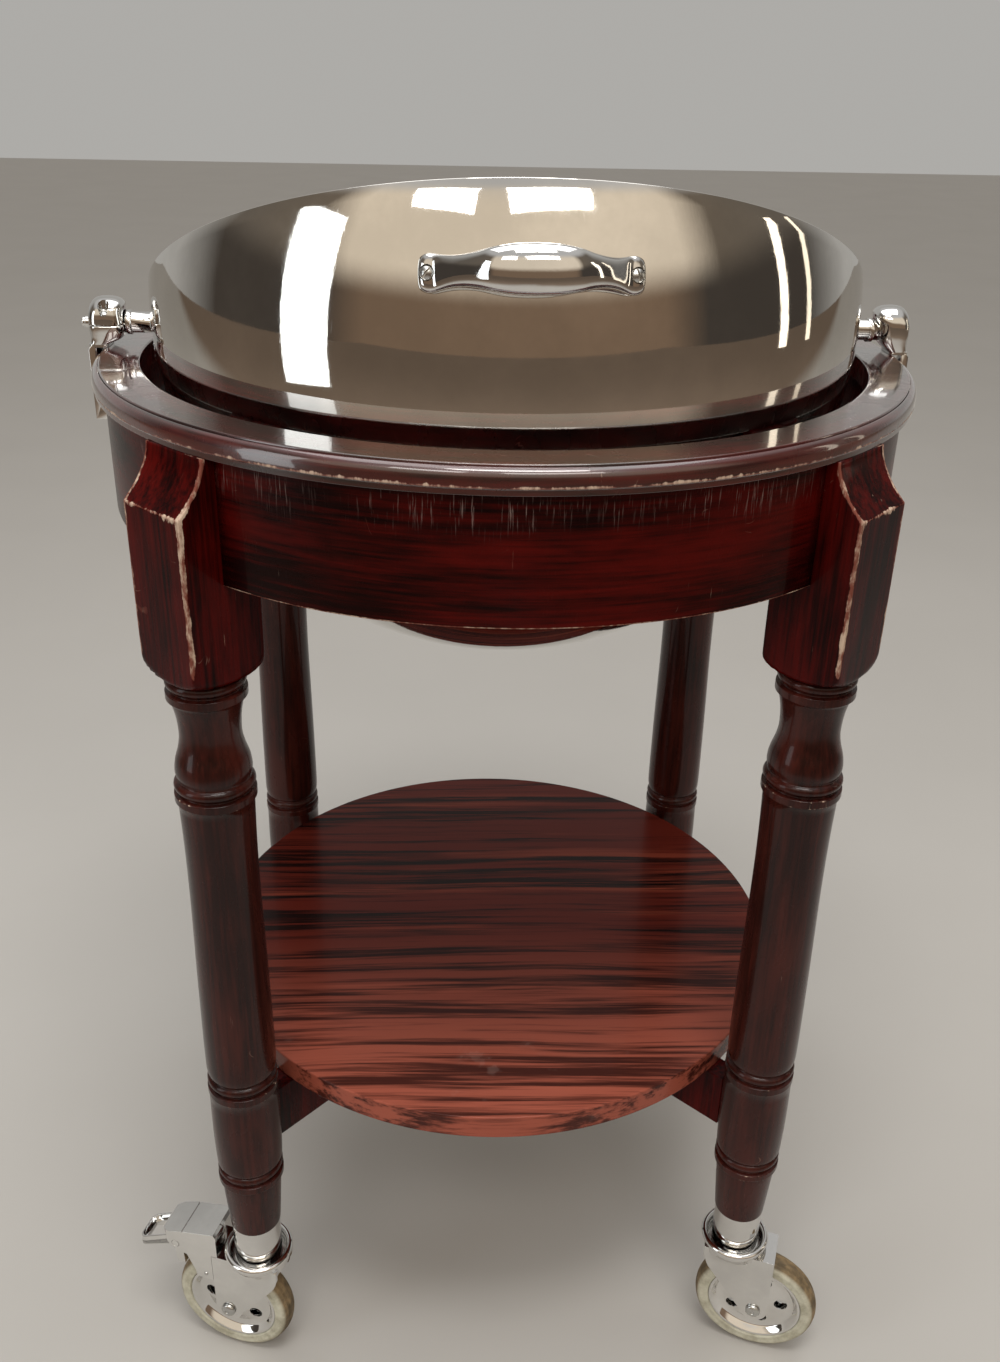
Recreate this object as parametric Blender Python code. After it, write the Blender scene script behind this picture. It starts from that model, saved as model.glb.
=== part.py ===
"""Roll-top carving trolley: a ring frame on four turned legs, a half-sphere lid on side pivots, four casters.

Metres, +Z up. The origin is on the floor under the centre of the ring. The lid turns about the X axis of its
two side pivots, and the raised edge of the open lid stands at the front, on the -Y side.
"""

import math

import bmesh
import bpy
from mathutils import Matrix, Vector

# Running and assembly gaps
GAP = 0.0003
CUT_OVERRUN = 0.002

# Wooden ring
RING_RADIUS = 0.355
RING_WIDTH = 0.040
RING_TOP_HEIGHT = 0.993
RING_BOARD_THICKNESS = 0.020
MOULDING_WIDTH = 0.0060
MOULDING_DROP = 0.0100
MOULDING_TOP_SET = 0.0015
ARRIS = 0.0012
APRON_SETBACK = 0.009
APRON_THICKNESS = 0.018
APRON_DEPTH = 0.098
RING_STEPS = 60
APRON_STEPS = 11

# Legs
LEG_SETBACK = 0.0108
LEG_ANGLES = {"front_right": -45.0, "back_right": 45.0, "back_left": 135.0, "front_left": -135.0}
BLOCK_SIDE = 0.068
BLOCK_LENGTH = 0.1787
BLOCK_COVE_DEPTH = 0.024
BLOCK_COVE_HEIGHT = 0.040
SHOULDER_HEIGHT = 0.016
BEAD_RADIUS = 0.0320
BEAD_HEIGHT = 0.0090
GROOVE_DEPTH = 0.0025
FILLET_HEIGHT = 0.0085
UPPER_BEAD_DROP = 0.0060
SECOND_BEAD_DROP = 0.0990
THIRD_BEAD_RISE = 0.0120
LOWER_BEAD_RISE = 0.0780
NECK_RADIUS = 0.0247
BULB_RADIUS = 0.0312
SHAFT_WAIST_RADIUS = 0.0296
SHAFT_RADIUS = 0.0320
BARREL_RADIUS = 0.0318
FOOT_TOP_RADIUS = 0.0288
FOOT_RADIUS = 0.0242
SOCKET_LENGTH = 0.0515
SPIGOT_RADIUS = 0.0200
LEG_STEPS = 16

# Shelf and its crossed rails
SHELF_SETBACK = 0.0472
SHELF_TOP_HEIGHT = 0.367
SHELF_THICKNESS = 0.024
RAIL_WIDTH = 0.024
RAIL_DEPTH = 0.058
SHELF_STEPS = 48

# Side pivots
PIVOT_RISE = 0.0195
JOURNAL_RADIUS = 0.0090
JOURNAL_COLLAR_RADIUS = 0.0105
JOURNAL_COLLAR_WIDTH = 0.0045
JOURNAL_ENGAGEMENT = 0.0200
SHAFT_PIN_RADIUS = 0.0050
SHAFT_PIN_HEAD_RADIUS = 0.0090
SHAFT_PIN_HEAD_THICKNESS = 0.0055
SHAFT_PIN_PROUD = 0.0070
PIN_RUNNING_GAP = 0.0005
BRACKET_SETBACK = 0.0250
BRACKET_HEAD_WIDTH = 0.0310
BRACKET_HEAD_RADIUS = 0.0220
BRACKET_HEAD_HALF_DEPTH = 0.0185
BRACKET_STRAP_THICKNESS = 0.0075
BRACKET_STRAP_WIDTH = 0.0290
BRACKET_TAIL_DEPTH = 0.0430
BRACKET_TAIL_PAD_HEIGHT = 0.0150
BRACKET_SHOULDER = 0.0080
CAP_SCREW_OFFSET = 0.0138
CAP_SCREW_RADIUS = 0.0028
CAP_SCREW_HEAD_RADIUS = 0.0044
CAP_SCREW_HEAD_HEIGHT = 0.0040
CAP_SCREW_GRIP = 0.0080

# Lid
LID_RING_CLEARANCE = 0.0104
LID_THICKNESS = 0.0012
LID_OFFSET = 0.0177
LID_OPEN_ANGLE = 154.5
LID_STEPS = 48
LID_RINGS = 10
PLATE_THICKNESS = 0.0030
PLATE_HALF_WIDTH = 0.0105
PLATE_LENGTH_BELOW = 0.0165
PLATE_LENGTH_ABOVE = 0.0380
PLATE_SCREW_OFFSET = 0.0295
PLATE_SCREW_RADIUS = 0.0020
PLATE_SCREW_HEAD_RADIUS = 0.0040
PLATE_SCREW_HEAD_HEIGHT = 0.0022
HANDLE_ANGLE = 11.5
HANDLE_LENGTH = 0.148
HANDLE_SCREW_INSET = 0.00675
HANDLE_LOBE_HALF_HEIGHT = 0.0125
HANDLE_LOBE_HALF_DEPTH = 0.0060
HANDLE_NECK_HALF_HEIGHT = 0.0100
HANDLE_NECK_HALF_DEPTH = 0.0068
HANDLE_SWELL_HALF_HEIGHT = 0.0160
HANDLE_SWELL_HALF_DEPTH = 0.0095
HANDLE_FINGER_GAP = 0.0270
HANDLE_SCREW_RADIUS = 0.0024
HANDLE_SCREW_HEAD_RADIUS = 0.0046
HANDLE_SCREW_HEAD_HEIGHT = 0.0026
HANDLE_STEPS = 12

# Water pan, its hangers, carving deck and burner
HANGER_SETBACK = 0.0181
HANGER_THICKNESS = 0.0030
HANGER_WIDTH = 0.0300
HANGER_TOP_MARGIN = 0.0150
HANGER_FOOT_LENGTH = 0.0205
PAN_FLANGE_SETBACK = 0.0095
PAN_FLANGE_WIDTH = 0.0155
PAN_BEND = 0.0165
PAN_WALL_THICKNESS = 0.0020
PAN_DROP = 0.0270
PAN_DEPTH = 0.0825
PAN_STEPS = 40
DECK_SETBACK = 0.0090
DECK_THICKNESS = 0.0040
DECK_RIM_WIDTH = 0.0060
DECK_RIM_HEIGHT = 0.0040
DECK_GROOVE_SETBACK = 0.0620
DECK_GROOVE_WIDTH = 0.0120
DECK_GROOVE_DEPTH = 0.0018
CRADLE_HALF_SPAN = 0.0700
CRADLE_WIDTH = 0.0400
CRADLE_THICKNESS = 0.0025
CRADLE_DROP = 0.0750
CRADLE_FOOT_LENGTH = 0.0200
BURNER_RADIUS = 0.0450
BURNER_HEIGHT = 0.0360
BURNER_NECK_RADIUS = 0.0240
BURNER_NECK_HEIGHT = 0.0100
BURNER_WELL_DEPTH = 0.0200
BURNER_WALL = 0.0030

# Casters
WHEEL_RADIUS = 0.0625
TYRE_HALF_WIDTH = 0.0125
TYRE_SHOULDER = 0.0050
RIM_RADIUS = 0.0475
RIM_HALF_WIDTH = 0.0110
RIM_THICKNESS = 0.0030
WEB_THICKNESS = 0.0035
HUB_RADIUS = 0.0110
HUB_HALF_WIDTH = 0.0155
AXLE_RADIUS = 0.0040
AXLE_HEAD_RADIUS = 0.0075
AXLE_HEAD_THICKNESS = 0.0045
WHEEL_HOLE_RADIUS = 0.0068
WHEEL_HOLE_CIRCLE_RADIUS = 0.0285
WHEEL_HOLE_COUNT = 5
CASTER_TRAIL = 0.0300
FORK_PLATE_THICKNESS = 0.0030
FORK_SIDE_GAP = 0.0010
FORK_WHEEL_CLEARANCE = 0.0065
FORK_CROWN_THICKNESS = 0.0050
FORK_BRIDGE_STEP = 0.0020
FORK_LEADING_REACH = 0.0290
FORK_EYE_RADIUS = 0.0140
CUP_RADIUS = 0.0305
CUP_INNER_RADIUS = 0.0265
CUP_RIM_RADIUS = 0.0340
CUP_HEIGHT = 0.0120
CUP_ROLL = 0.0035
SOCKET_RADIUS = 0.0235
SOCKET_FLOOR_THICKNESS = 0.0150
STEM_RADIUS = 0.0065
STEM_HEAD_RADIUS = 0.0100
STEM_HEAD_THICKNESS = 0.0040
CASTER_STEPS = 20
SMALL_STEPS = 16
TYRE_STEPS = 26
CASTER_HEADINGS = {"front_right": -20.5, "back_right": 12.0, "back_left": 80.0, "front_left": 160.3}
BRAKED_CASTERS = ("front_left", "back_right")

# Foot brake
BRAKE_TOP_RISE = 0.0300
BRAKE_TIP_RISE = 0.0170
BRAKE_TIP_LENGTH = 0.0570
BRAKE_BODY_LENGTH = 0.0300
BRAKE_CHEEK_DEPTH = 0.0360
BRAKE_CHEEK_LENGTH = 0.0200
BRAKE_ROOF_THICKNESS = 0.0100
BRAKE_HINGE_SET = 0.0400
BRAKE_HINGE_RISE = 0.0035
BRAKE_PIN_RADIUS = 0.0040
BRAKE_PIN_MARGIN = 0.0022
PEDAL_LENGTH = 0.0460
PEDAL_DROP = 0.0210
PEDAL_THICKNESS = 0.0050
PEDAL_HALF_WIDTH = 0.0155
PEDAL_FRAME_WIDTH = 0.0060
PEDAL_SHOE_GAP = 0.0040
PEDAL_SHOE_SET = 0.0040

# Radii that follow from the ring
RING_INNER_RADIUS = RING_RADIUS - RING_WIDTH
APRON_OUTER_RADIUS = RING_RADIUS - APRON_SETBACK
LEG_AXIS_RADIUS = RING_RADIUS - LEG_SETBACK
SHELF_RADIUS = LEG_AXIS_RADIUS - SHELF_SETBACK
BRACKET_INNER_FACE = RING_RADIUS - BRACKET_SETBACK
LID_RADIUS = RING_INNER_RADIUS - LID_RING_CLEARANCE
HANGER_INNER_FACE = LID_RADIUS - HANGER_SETBACK
PAN_FLANGE_RADIUS = HANGER_INNER_FACE - PAN_FLANGE_SETBACK
PAN_WALL_RADIUS = PAN_FLANGE_RADIUS - PAN_FLANGE_WIDTH
PAN_BASE_RADIUS = PAN_WALL_RADIUS - PAN_BEND
DECK_RADIUS = PAN_FLANGE_RADIUS - DECK_SETBACK
DECK_GROOVE_RADIUS = DECK_RADIUS - DECK_GROOVE_SETBACK
HANDLE_SCREW_SPACING = HANDLE_LENGTH - 2 * HANDLE_SCREW_INSET

# Sizes of a caster that follow from its wheel
FORK_CROWN_HEIGHT = 2 * WHEEL_RADIUS + FORK_WHEEL_CLEARANCE + FORK_CROWN_THICKNESS
FORK_TRAILING_REACH = CASTER_TRAIL + FORK_EYE_RADIUS
BRAKE_TOP_HEIGHT = FORK_CROWN_HEIGHT + BRAKE_TOP_RISE
BRAKE_TIP_TOP_HEIGHT = FORK_CROWN_HEIGHT + BRAKE_TIP_RISE
BRAKE_TIP_REACH = FORK_TRAILING_REACH + BRAKE_TIP_LENGTH
BRAKE_BODY_REACH = FORK_TRAILING_REACH + BRAKE_BODY_LENGTH
BRAKE_CHEEK_REACH = FORK_TRAILING_REACH + BRAKE_CHEEK_LENGTH
BRAKE_HINGE_REACH = FORK_TRAILING_REACH + BRAKE_HINGE_SET
BRAKE_HINGE_HEIGHT = FORK_CROWN_HEIGHT + BRAKE_HINGE_RISE
SHOE_TO_WHEEL = BRAKE_HINGE_REACH - PEDAL_SHOE_SET - PEDAL_THICKNESS / 2 - CASTER_TRAIL
SHOE_REACH = WHEEL_RADIUS + PEDAL_SHOE_GAP
PEDAL_SHOE_DROP = BRAKE_HINGE_HEIGHT - WHEEL_RADIUS - math.sqrt(SHOE_REACH ** 2 - SHOE_TO_WHEEL ** 2)

# Heights that follow from the ring, the shelf and the casters
PIVOT_HEIGHT = RING_TOP_HEIGHT + PIVOT_RISE
PAN_TOP_HEIGHT = PIVOT_HEIGHT - PAN_DROP
FOOT_HEIGHT = FORK_CROWN_HEIGHT + SOCKET_LENGTH
RING_BOTTOM_HEIGHT = RING_TOP_HEIGHT - RING_BOARD_THICKNESS
BOARD_OUTER_RADIUS = RING_RADIUS - MOULDING_WIDTH - GAP
BLOCK_TOP_HEIGHT = RING_BOTTOM_HEIGHT - GAP
BLOCK_BOTTOM_HEIGHT = BLOCK_TOP_HEIGHT - BLOCK_LENGTH
UPPER_BEAD_HEIGHT = BLOCK_BOTTOM_HEIGHT - UPPER_BEAD_DROP
SECOND_BEAD_HEIGHT = BLOCK_BOTTOM_HEIGHT - SECOND_BEAD_DROP
THIRD_BEAD_HEIGHT = SHELF_TOP_HEIGHT + THIRD_BEAD_RISE
LOWER_BEAD_HEIGHT = FOOT_HEIGHT + LOWER_BEAD_RISE
APRON_INNER_RADIUS = APRON_OUTER_RADIUS - APRON_THICKNESS
RAIL_TOP_HEIGHT = SHELF_TOP_HEIGHT - SHELF_THICKNESS - GAP
RAIL_BOTTOM_HEIGHT = RAIL_TOP_HEIGHT - RAIL_DEPTH
PLATE_INNER_RADIUS = LID_RADIUS + GAP
PLATE_OUTER_RADIUS = PLATE_INNER_RADIUS + PLATE_THICKNESS
JOURNAL_START = PLATE_OUTER_RADIUS + GAP
JOURNAL_END = BRACKET_INNER_FACE + JOURNAL_ENGAGEMENT
JOURNAL_BORE_RADIUS = SHAFT_PIN_RADIUS + PIN_RUNNING_GAP
BRACKET_OUTER_FACE = BRACKET_INNER_FACE + BRACKET_HEAD_WIDTH
STRAP_INNER_FACE = RING_RADIUS + GAP + GAP
STRAP_OUTER_FACE = STRAP_INNER_FACE + BRACKET_STRAP_THICKNESS
FORK_INNER_HALF_WIDTH = HUB_HALF_WIDTH + FORK_SIDE_GAP
FORK_OUTER_HALF_WIDTH = FORK_INNER_HALF_WIDTH + FORK_PLATE_THICKNESS
FORK_CROWN_BOTTOM = FORK_CROWN_HEIGHT - FORK_CROWN_THICKNESS
FORK_BRIDGE_TOP = FORK_CROWN_HEIGHT - FORK_BRIDGE_STEP
SOCKET_BOTTOM = FORK_CROWN_HEIGHT + GAP
SPIGOT_BOTTOM = SOCKET_BOTTOM + SOCKET_FLOOR_THICKNESS + GAP
SOCKET_TOP = FOOT_HEIGHT - GAP

# Colours: base colour, roughness, metallic
MAHOGANY = ("mahogany_lacquer", (0.085, 0.012, 0.008, 1.0), 0.22, 0.0)
SHELF_FINISH = ("rosewood_laminate", (0.16, 0.022, 0.014, 1.0), 0.18, 0.0)
POLISHED_STEEL = ("polished_steel", (0.72, 0.71, 0.69, 1.0), 0.12, 1.0)
CHROME = ("chrome", (0.78, 0.77, 0.75, 1.0), 0.08, 1.0)
SATIN_STEEL = ("satin_steel", (0.55, 0.55, 0.54, 1.0), 0.32, 1.0)
GREY_RUBBER = ("grey_rubber", (0.42, 0.42, 0.38, 1.0), 0.6, 0.0)
BURNER_BRASS = ("burner_brass", (0.62, 0.47, 0.22, 1.0), 0.3, 1.0)


def clear_scene():
    for thing in list(bpy.data.objects):
        bpy.data.objects.remove(thing, do_unlink=True)


def finish_material(finish):
    """The named Principled material, made once."""
    name, colour, roughness, metallic = finish
    found = bpy.data.materials.get(name)
    if found:
        return found
    made = bpy.data.materials.new(name)
    made.use_nodes = True
    shader = made.node_tree.nodes["Principled BSDF"]
    shader.inputs["Base Color"].default_value = colour
    shader.inputs["Roughness"].default_value = roughness
    shader.inputs["Metallic"].default_value = metallic
    made.diffuse_color = colour
    return made


def solid(name, points, faces):
    """An object from points and faces, its faces turned outwards."""
    mesh = bpy.data.meshes.new(name)
    shape = bmesh.new()
    corners = [shape.verts.new(point) for point in points]
    for face in faces:
        shape.faces.new([corners[index] for index in face])
    bmesh.ops.recalc_face_normals(shape, faces=shape.faces)
    shape.to_mesh(mesh)
    shape.free()
    thing = bpy.data.objects.new(name, mesh)
    bpy.context.scene.collection.objects.link(thing)
    return thing


def dressed(thing, finish, parent=None, location=(0, 0, 0), turn=0, smooth_angle=40):
    """The object with its finish, its shading and its place."""
    thing.data.materials.clear()
    thing.data.materials.append(finish_material(finish))
    thing.data.shade_smooth()
    thing.data.set_sharp_from_angle(angle=math.radians(smooth_angle))
    thing.parent = parent
    thing.location = location
    thing.rotation_euler = (0, 0, math.radians(turn))
    return thing


def empty(name, location, parent=None, rotation=(0, 0, 0)):
    guide = bpy.data.objects.new(name, None)
    bpy.context.scene.collection.objects.link(guide)
    guide.parent = parent
    guide.location = location
    guide.rotation_euler = rotation
    return guide


def turned(name, profile, steps, axis="Z", centre=(0, 0, 0)):
    """A solid of revolution. The profile is a closed loop of (radius, height) points."""
    points = []
    rings = []
    for radius, height in profile:
        first = len(points)
        count = 1 if radius == 0 else steps
        for step in range(count):
            angle = 2 * math.pi * step / steps
            points.append((radius * math.cos(angle), radius * math.sin(angle), height))
        rings.append([first + step % count for step in range(steps)])
    faces = []
    for index, ring in enumerate(rings):
        after = rings[(index + 1) % len(rings)]
        for step in range(steps):
            nearby = (step + 1) % steps
            corners = [ring[step], ring[nearby], after[nearby], after[step]]
            face = list(dict.fromkeys(corners))
            if len(face) > 2:
                faces.append(face)
    spin = {
        "Z": Matrix(),
        "X": Matrix.Rotation(math.pi / 2, 4, "Y"),
        "Y": Matrix.Rotation(-math.pi / 2, 4, "X"),
    }
    place = Matrix.Translation(centre) @ spin[axis]
    return solid(name, [place @ Vector(point) for point in points], faces)


def cylinder(name, radius, low, high, steps, axis="Z", centre=(0, 0, 0)):
    return turned(name, [(0, low), (radius, low), (radius, high), (0, high)], steps, axis, centre)


def prism(name, outline, low, high, axis="Z"):
    """An outline extruded along an axis: (x, y) for Z, (x, z) for Y and (y, z) for X."""
    place = {
        "Z": lambda a, b, c: (a, b, c),
        "Y": lambda a, b, c: (a, c, b),
        "X": lambda a, b, c: (c, a, b),
    }[axis]
    count = len(outline)
    points = [place(a, b, low) for a, b in outline] + [place(a, b, high) for a, b in outline]
    faces = [list(range(count)), list(range(count, 2 * count))]
    for index in range(count):
        after = (index + 1) % count
        faces.append([index, after, after + count, index + count])
    return solid(name, points, faces)


def box(name, low, high):
    outline = [(low[0], low[1]), (high[0], low[1]), (high[0], high[1]), (low[0], high[1])]
    return prism(name, outline, low[2], high[2])


def carve(thing, operation, tool):
    """One Boolean with a tool object, applied at once; the tool is removed."""
    change = thing.modifiers.new(operation.title(), "BOOLEAN")
    change.operation = operation
    change.solver = "EXACT"
    change.object = tool
    bpy.context.view_layer.update()
    graph = bpy.context.evaluated_depsgraph_get()
    result = bpy.data.meshes.new_from_object(thing.evaluated_get(graph))
    before = thing.data
    thing.modifiers.clear()
    thing.data = result
    result.name = thing.name
    bpy.data.meshes.remove(before)
    bpy.data.objects.remove(tool, do_unlink=True)
    return thing


def arc(centre, radius, start, end, count):
    """Points of an arc in the (a, b) plane, angles in degrees."""
    points = []
    for step in range(count + 1):
        angle = math.radians(start + (end - start) * step / count)
        points.append((centre[0] + radius * math.cos(angle), centre[1] + radius * math.sin(angle)))
    return points


def bead(height, radius):
    """Profile of a turned bead and the square fillet under it, from the bottom up."""
    half = BEAD_HEIGHT / 2
    low_groove = height - half
    core = radius - GROOVE_DEPTH
    return [
        (radius, low_groove - GROOVE_DEPTH / 2 - FILLET_HEIGHT),
        (radius, low_groove - GROOVE_DEPTH / 2),
        (core, low_groove),
        (radius, height - half / 2),
        (radius, height + half / 2),
        (core, height + half),
    ]


def leg_profile():
    """Half outline of the turned leg, from the spigot up to the square block."""
    half = BEAD_HEIGHT / 2
    bead_foot = half + GROOVE_DEPTH / 2 + FILLET_HEIGHT
    profile = [(0, SPIGOT_BOTTOM), (SPIGOT_RADIUS, SPIGOT_BOTTOM), (SPIGOT_RADIUS, FOOT_HEIGHT)]
    profile += [(FOOT_RADIUS, FOOT_HEIGHT), (FOOT_TOP_RADIUS, LOWER_BEAD_HEIGHT - bead_foot - ARRIS)]
    profile += bead(LOWER_BEAD_HEIGHT, BEAD_RADIUS - ARRIS)
    barrel_low = LOWER_BEAD_HEIGHT + half
    barrel_span = THIRD_BEAD_HEIGHT - bead_foot - barrel_low
    barrel_shares = ((0.06, 0.975), (0.5, 1.0))
    for height_share, radius_share in barrel_shares:
        profile.append((BARREL_RADIUS * radius_share, barrel_low + barrel_span * height_share))
    profile += bead(THIRD_BEAD_HEIGHT, BEAD_RADIUS)
    shaft_low = THIRD_BEAD_HEIGHT + half
    shaft_span = SECOND_BEAD_HEIGHT - bead_foot - shaft_low
    swell = SHAFT_RADIUS - SHAFT_WAIST_RADIUS
    shaft_shares = ((0.04, 0.9), (0.3, 0.7), (0.62, 0.0))
    for height_share, swell_share in shaft_shares:
        profile.append((SHAFT_WAIST_RADIUS + swell * swell_share, shaft_low + shaft_span * height_share))
    profile += bead(SECOND_BEAD_HEIGHT, BEAD_RADIUS + ARRIS)
    neck_low = SECOND_BEAD_HEIGHT + half
    neck_span = UPPER_BEAD_HEIGHT - bead_foot - neck_low
    flare = BULB_RADIUS - NECK_RADIUS
    neck_shares = ((0.12, 0.95), (0.26, 0.65), (0.45, 0.05), (0.65, 0.05), (0.9, 0.6))
    for height_share, flare_share in neck_shares:
        profile.append((NECK_RADIUS + flare * flare_share, neck_low + neck_span * height_share))
    profile += bead(UPPER_BEAD_HEIGHT, BEAD_RADIUS)
    profile += [(BEAD_RADIUS - GROOVE_DEPTH / 2, BLOCK_BOTTOM_HEIGHT + SHOULDER_HEIGHT)]
    profile += [(0, BLOCK_BOTTOM_HEIGHT + SHOULDER_HEIGHT)]
    return profile


def make_leg_mesh():
    """Leg about its own axis, its outer face towards +X: square block with a cove, over one long turning."""
    half = BLOCK_SIDE / 2
    cove = []
    cove_shares = (1.0, 0.7, 0.45, 0.2, 0.0)
    for share in cove_shares:
        reach = half - BLOCK_COVE_DEPTH * (1 - share ** 1.8)
        cove.append((reach, BLOCK_TOP_HEIGHT - BLOCK_COVE_HEIGHT * share))
    outline = [(-half, BLOCK_BOTTOM_HEIGHT), (half, BLOCK_BOTTOM_HEIGHT)] + cove + [(-half, BLOCK_TOP_HEIGHT)]
    leg = prism("leg", outline, -half, half, "Y")
    corner = half * math.sqrt(2)
    rise = SHOULDER_HEIGHT
    reach = corner - BEAD_RADIUS + GROOVE_DEPTH
    shoulder = [(0, BLOCK_BOTTOM_HEIGHT)]
    shoulder_shares = (0.0, 0.4, 0.7, 1.0)
    for share in shoulder_shares:
        angle = math.radians(90) * share
        height = BLOCK_BOTTOM_HEIGHT + rise * (1 - math.cos(angle))
        shoulder.append((corner - reach + reach * math.sin(angle), height))
    shoulder += [(corner + CUT_OVERRUN, BLOCK_BOTTOM_HEIGHT + rise), (corner + CUT_OVERRUN, RING_TOP_HEIGHT)]
    shoulder += [(0, RING_TOP_HEIGHT)]
    carve(leg, "INTERSECT", turned("shoulder", shoulder, LEG_STEPS))
    carve(leg, "UNION", turned("turning", leg_profile(), LEG_STEPS))
    mesh = leg.data
    bpy.data.objects.remove(leg, do_unlink=True)
    return mesh


def make_frame():
    """Ring board, edge moulding, four apron rails, four legs, shelf and its two crossed rails."""
    board = [
        (RING_INNER_RADIUS, RING_BOTTOM_HEIGHT),
        (BOARD_OUTER_RADIUS, RING_BOTTOM_HEIGHT),
        (BOARD_OUTER_RADIUS, RING_TOP_HEIGHT - ARRIS),
        (BOARD_OUTER_RADIUS - ARRIS, RING_TOP_HEIGHT),
        (RING_INNER_RADIUS + ARRIS, RING_TOP_HEIGHT),
        (RING_INNER_RADIUS, RING_TOP_HEIGHT - ARRIS),
    ]
    dressed(turned("top_ring", board, RING_STEPS), MAHOGANY)

    inner = RING_RADIUS - MOULDING_WIDTH
    lip = RING_TOP_HEIGHT - MOULDING_DROP
    top = RING_TOP_HEIGHT - MOULDING_TOP_SET
    moulding = [(inner, RING_BOTTOM_HEIGHT), (RING_RADIUS - ARRIS, RING_BOTTOM_HEIGHT)]
    moulding += [(RING_RADIUS, RING_BOTTOM_HEIGHT + ARRIS), (RING_RADIUS, lip)]
    lip_shares = (0.3, 0.65, 1.0)
    for share in lip_shares:
        angle = math.radians(90) * share
        reach = inner + (MOULDING_WIDTH - ARRIS) * math.cos(angle)
        moulding.append((reach, lip + (top - lip) * math.sin(angle)))
    dressed(turned("rim_moulding", moulding, RING_STEPS), MAHOGANY)

    for side, middle in (("front", -90), ("right", 0), ("back", 90), ("left", 180)):
        dressed(make_apron_rail("apron_" + side), MAHOGANY, turn=middle)

    leg_mesh = make_leg_mesh()
    for corner, angle in LEG_ANGLES.items():
        leg = bpy.data.objects.new("leg_" + corner, leg_mesh)
        bpy.context.scene.collection.objects.link(leg)
        dressed(leg, MAHOGANY, location=leg_place(corner), turn=angle)

    shelf_low = SHELF_TOP_HEIGHT - SHELF_THICKNESS
    shelf = [
        (0, shelf_low),
        (SHELF_RADIUS - ARRIS, shelf_low),
        (SHELF_RADIUS, shelf_low + ARRIS),
        (SHELF_RADIUS, SHELF_TOP_HEIGHT - ARRIS),
        (SHELF_RADIUS - ARRIS, SHELF_TOP_HEIGHT),
        (0, SHELF_TOP_HEIGHT),
    ]
    dressed(turned("shelf", shelf, SHELF_STEPS), SHELF_FINISH)
    lap = (RAIL_TOP_HEIGHT + RAIL_BOTTOM_HEIGHT) / 2
    rails = (
        ("shelf_rail_upper", 45, lap + GAP, RAIL_BOTTOM_HEIGHT - CUT_OVERRUN),
        ("shelf_rail_lower", -45, lap, RAIL_TOP_HEIGHT + CUT_OVERRUN),
    )
    for name, angle, notch_start, notch_end in rails:
        dressed(make_rail(name, sorted((notch_start, notch_end))), MAHOGANY, turn=angle)


def leg_place(corner):
    angle = math.radians(LEG_ANGLES[corner])
    return (LEG_AXIS_RADIUS * math.cos(angle), LEG_AXIS_RADIUS * math.sin(angle), 0)


def make_apron_rail(name):
    """A curved rail centred on +X, its two ends cut square against the blocks of the legs."""
    low = BLOCK_TOP_HEIGHT - APRON_DEPTH
    clear = BLOCK_SIDE / 2 + GAP
    outline = []
    for radius, direction in ((APRON_OUTER_RADIUS, 1), (APRON_INNER_RADIUS, -1)):
        limit = 45 - math.degrees(math.asin(clear / radius))
        outline += arc((0, 0), radius, -limit * direction, limit * direction, APRON_STEPS)
    return prism(name, outline, low, BLOCK_TOP_HEIGHT)


def make_rail(name, notch):
    """A straight rail along X through the centre, half-lapped there, its ends scribed to the round legs."""
    half = RAIL_WIDTH / 2
    rail = box(name, (-LEG_AXIS_RADIUS, -half, RAIL_BOTTOM_HEIGHT), (LEG_AXIS_RADIUS, half, RAIL_TOP_HEIGHT))
    for side in (-1, 1):
        leg = cylinder(
            "scribe",
            BEAD_RADIUS + GAP,
            RAIL_BOTTOM_HEIGHT - CUT_OVERRUN,
            RAIL_TOP_HEIGHT + CUT_OVERRUN,
            LEG_STEPS,
            centre=(side * LEG_AXIS_RADIUS, 0, 0),
        )
        carve(rail, "DIFFERENCE", leg)
        near, far = sorted((side * (LEG_AXIS_RADIUS - half), side * (LEG_AXIS_RADIUS + BEAD_RADIUS)))
        rest = box("rest", (near, -BEAD_RADIUS, 0), (far, BEAD_RADIUS, SHELF_TOP_HEIGHT))
        carve(rail, "DIFFERENCE", rest)
    lap_half = half + GAP
    lap = box("lap", (-lap_half, -half - CUT_OVERRUN, notch[0]), (lap_half, half + CUT_OVERRUN, notch[1]))
    return carve(rail, "DIFFERENCE", lap)


def stepped_cutter(steps, side=1, axis="Z", centre=(0, 0, 0)):
    """A round cutter of several radii: (radius, start, end) for each step along its axis."""
    profile = [(0, side * steps[0][1])]
    for radius, start, end in steps:
        profile += [(radius, side * start), (radius, side * end)]
    profile.append((0, side * steps[-1][2]))
    return turned("cutter", profile, CASTER_STEPS, axis, centre)


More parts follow.
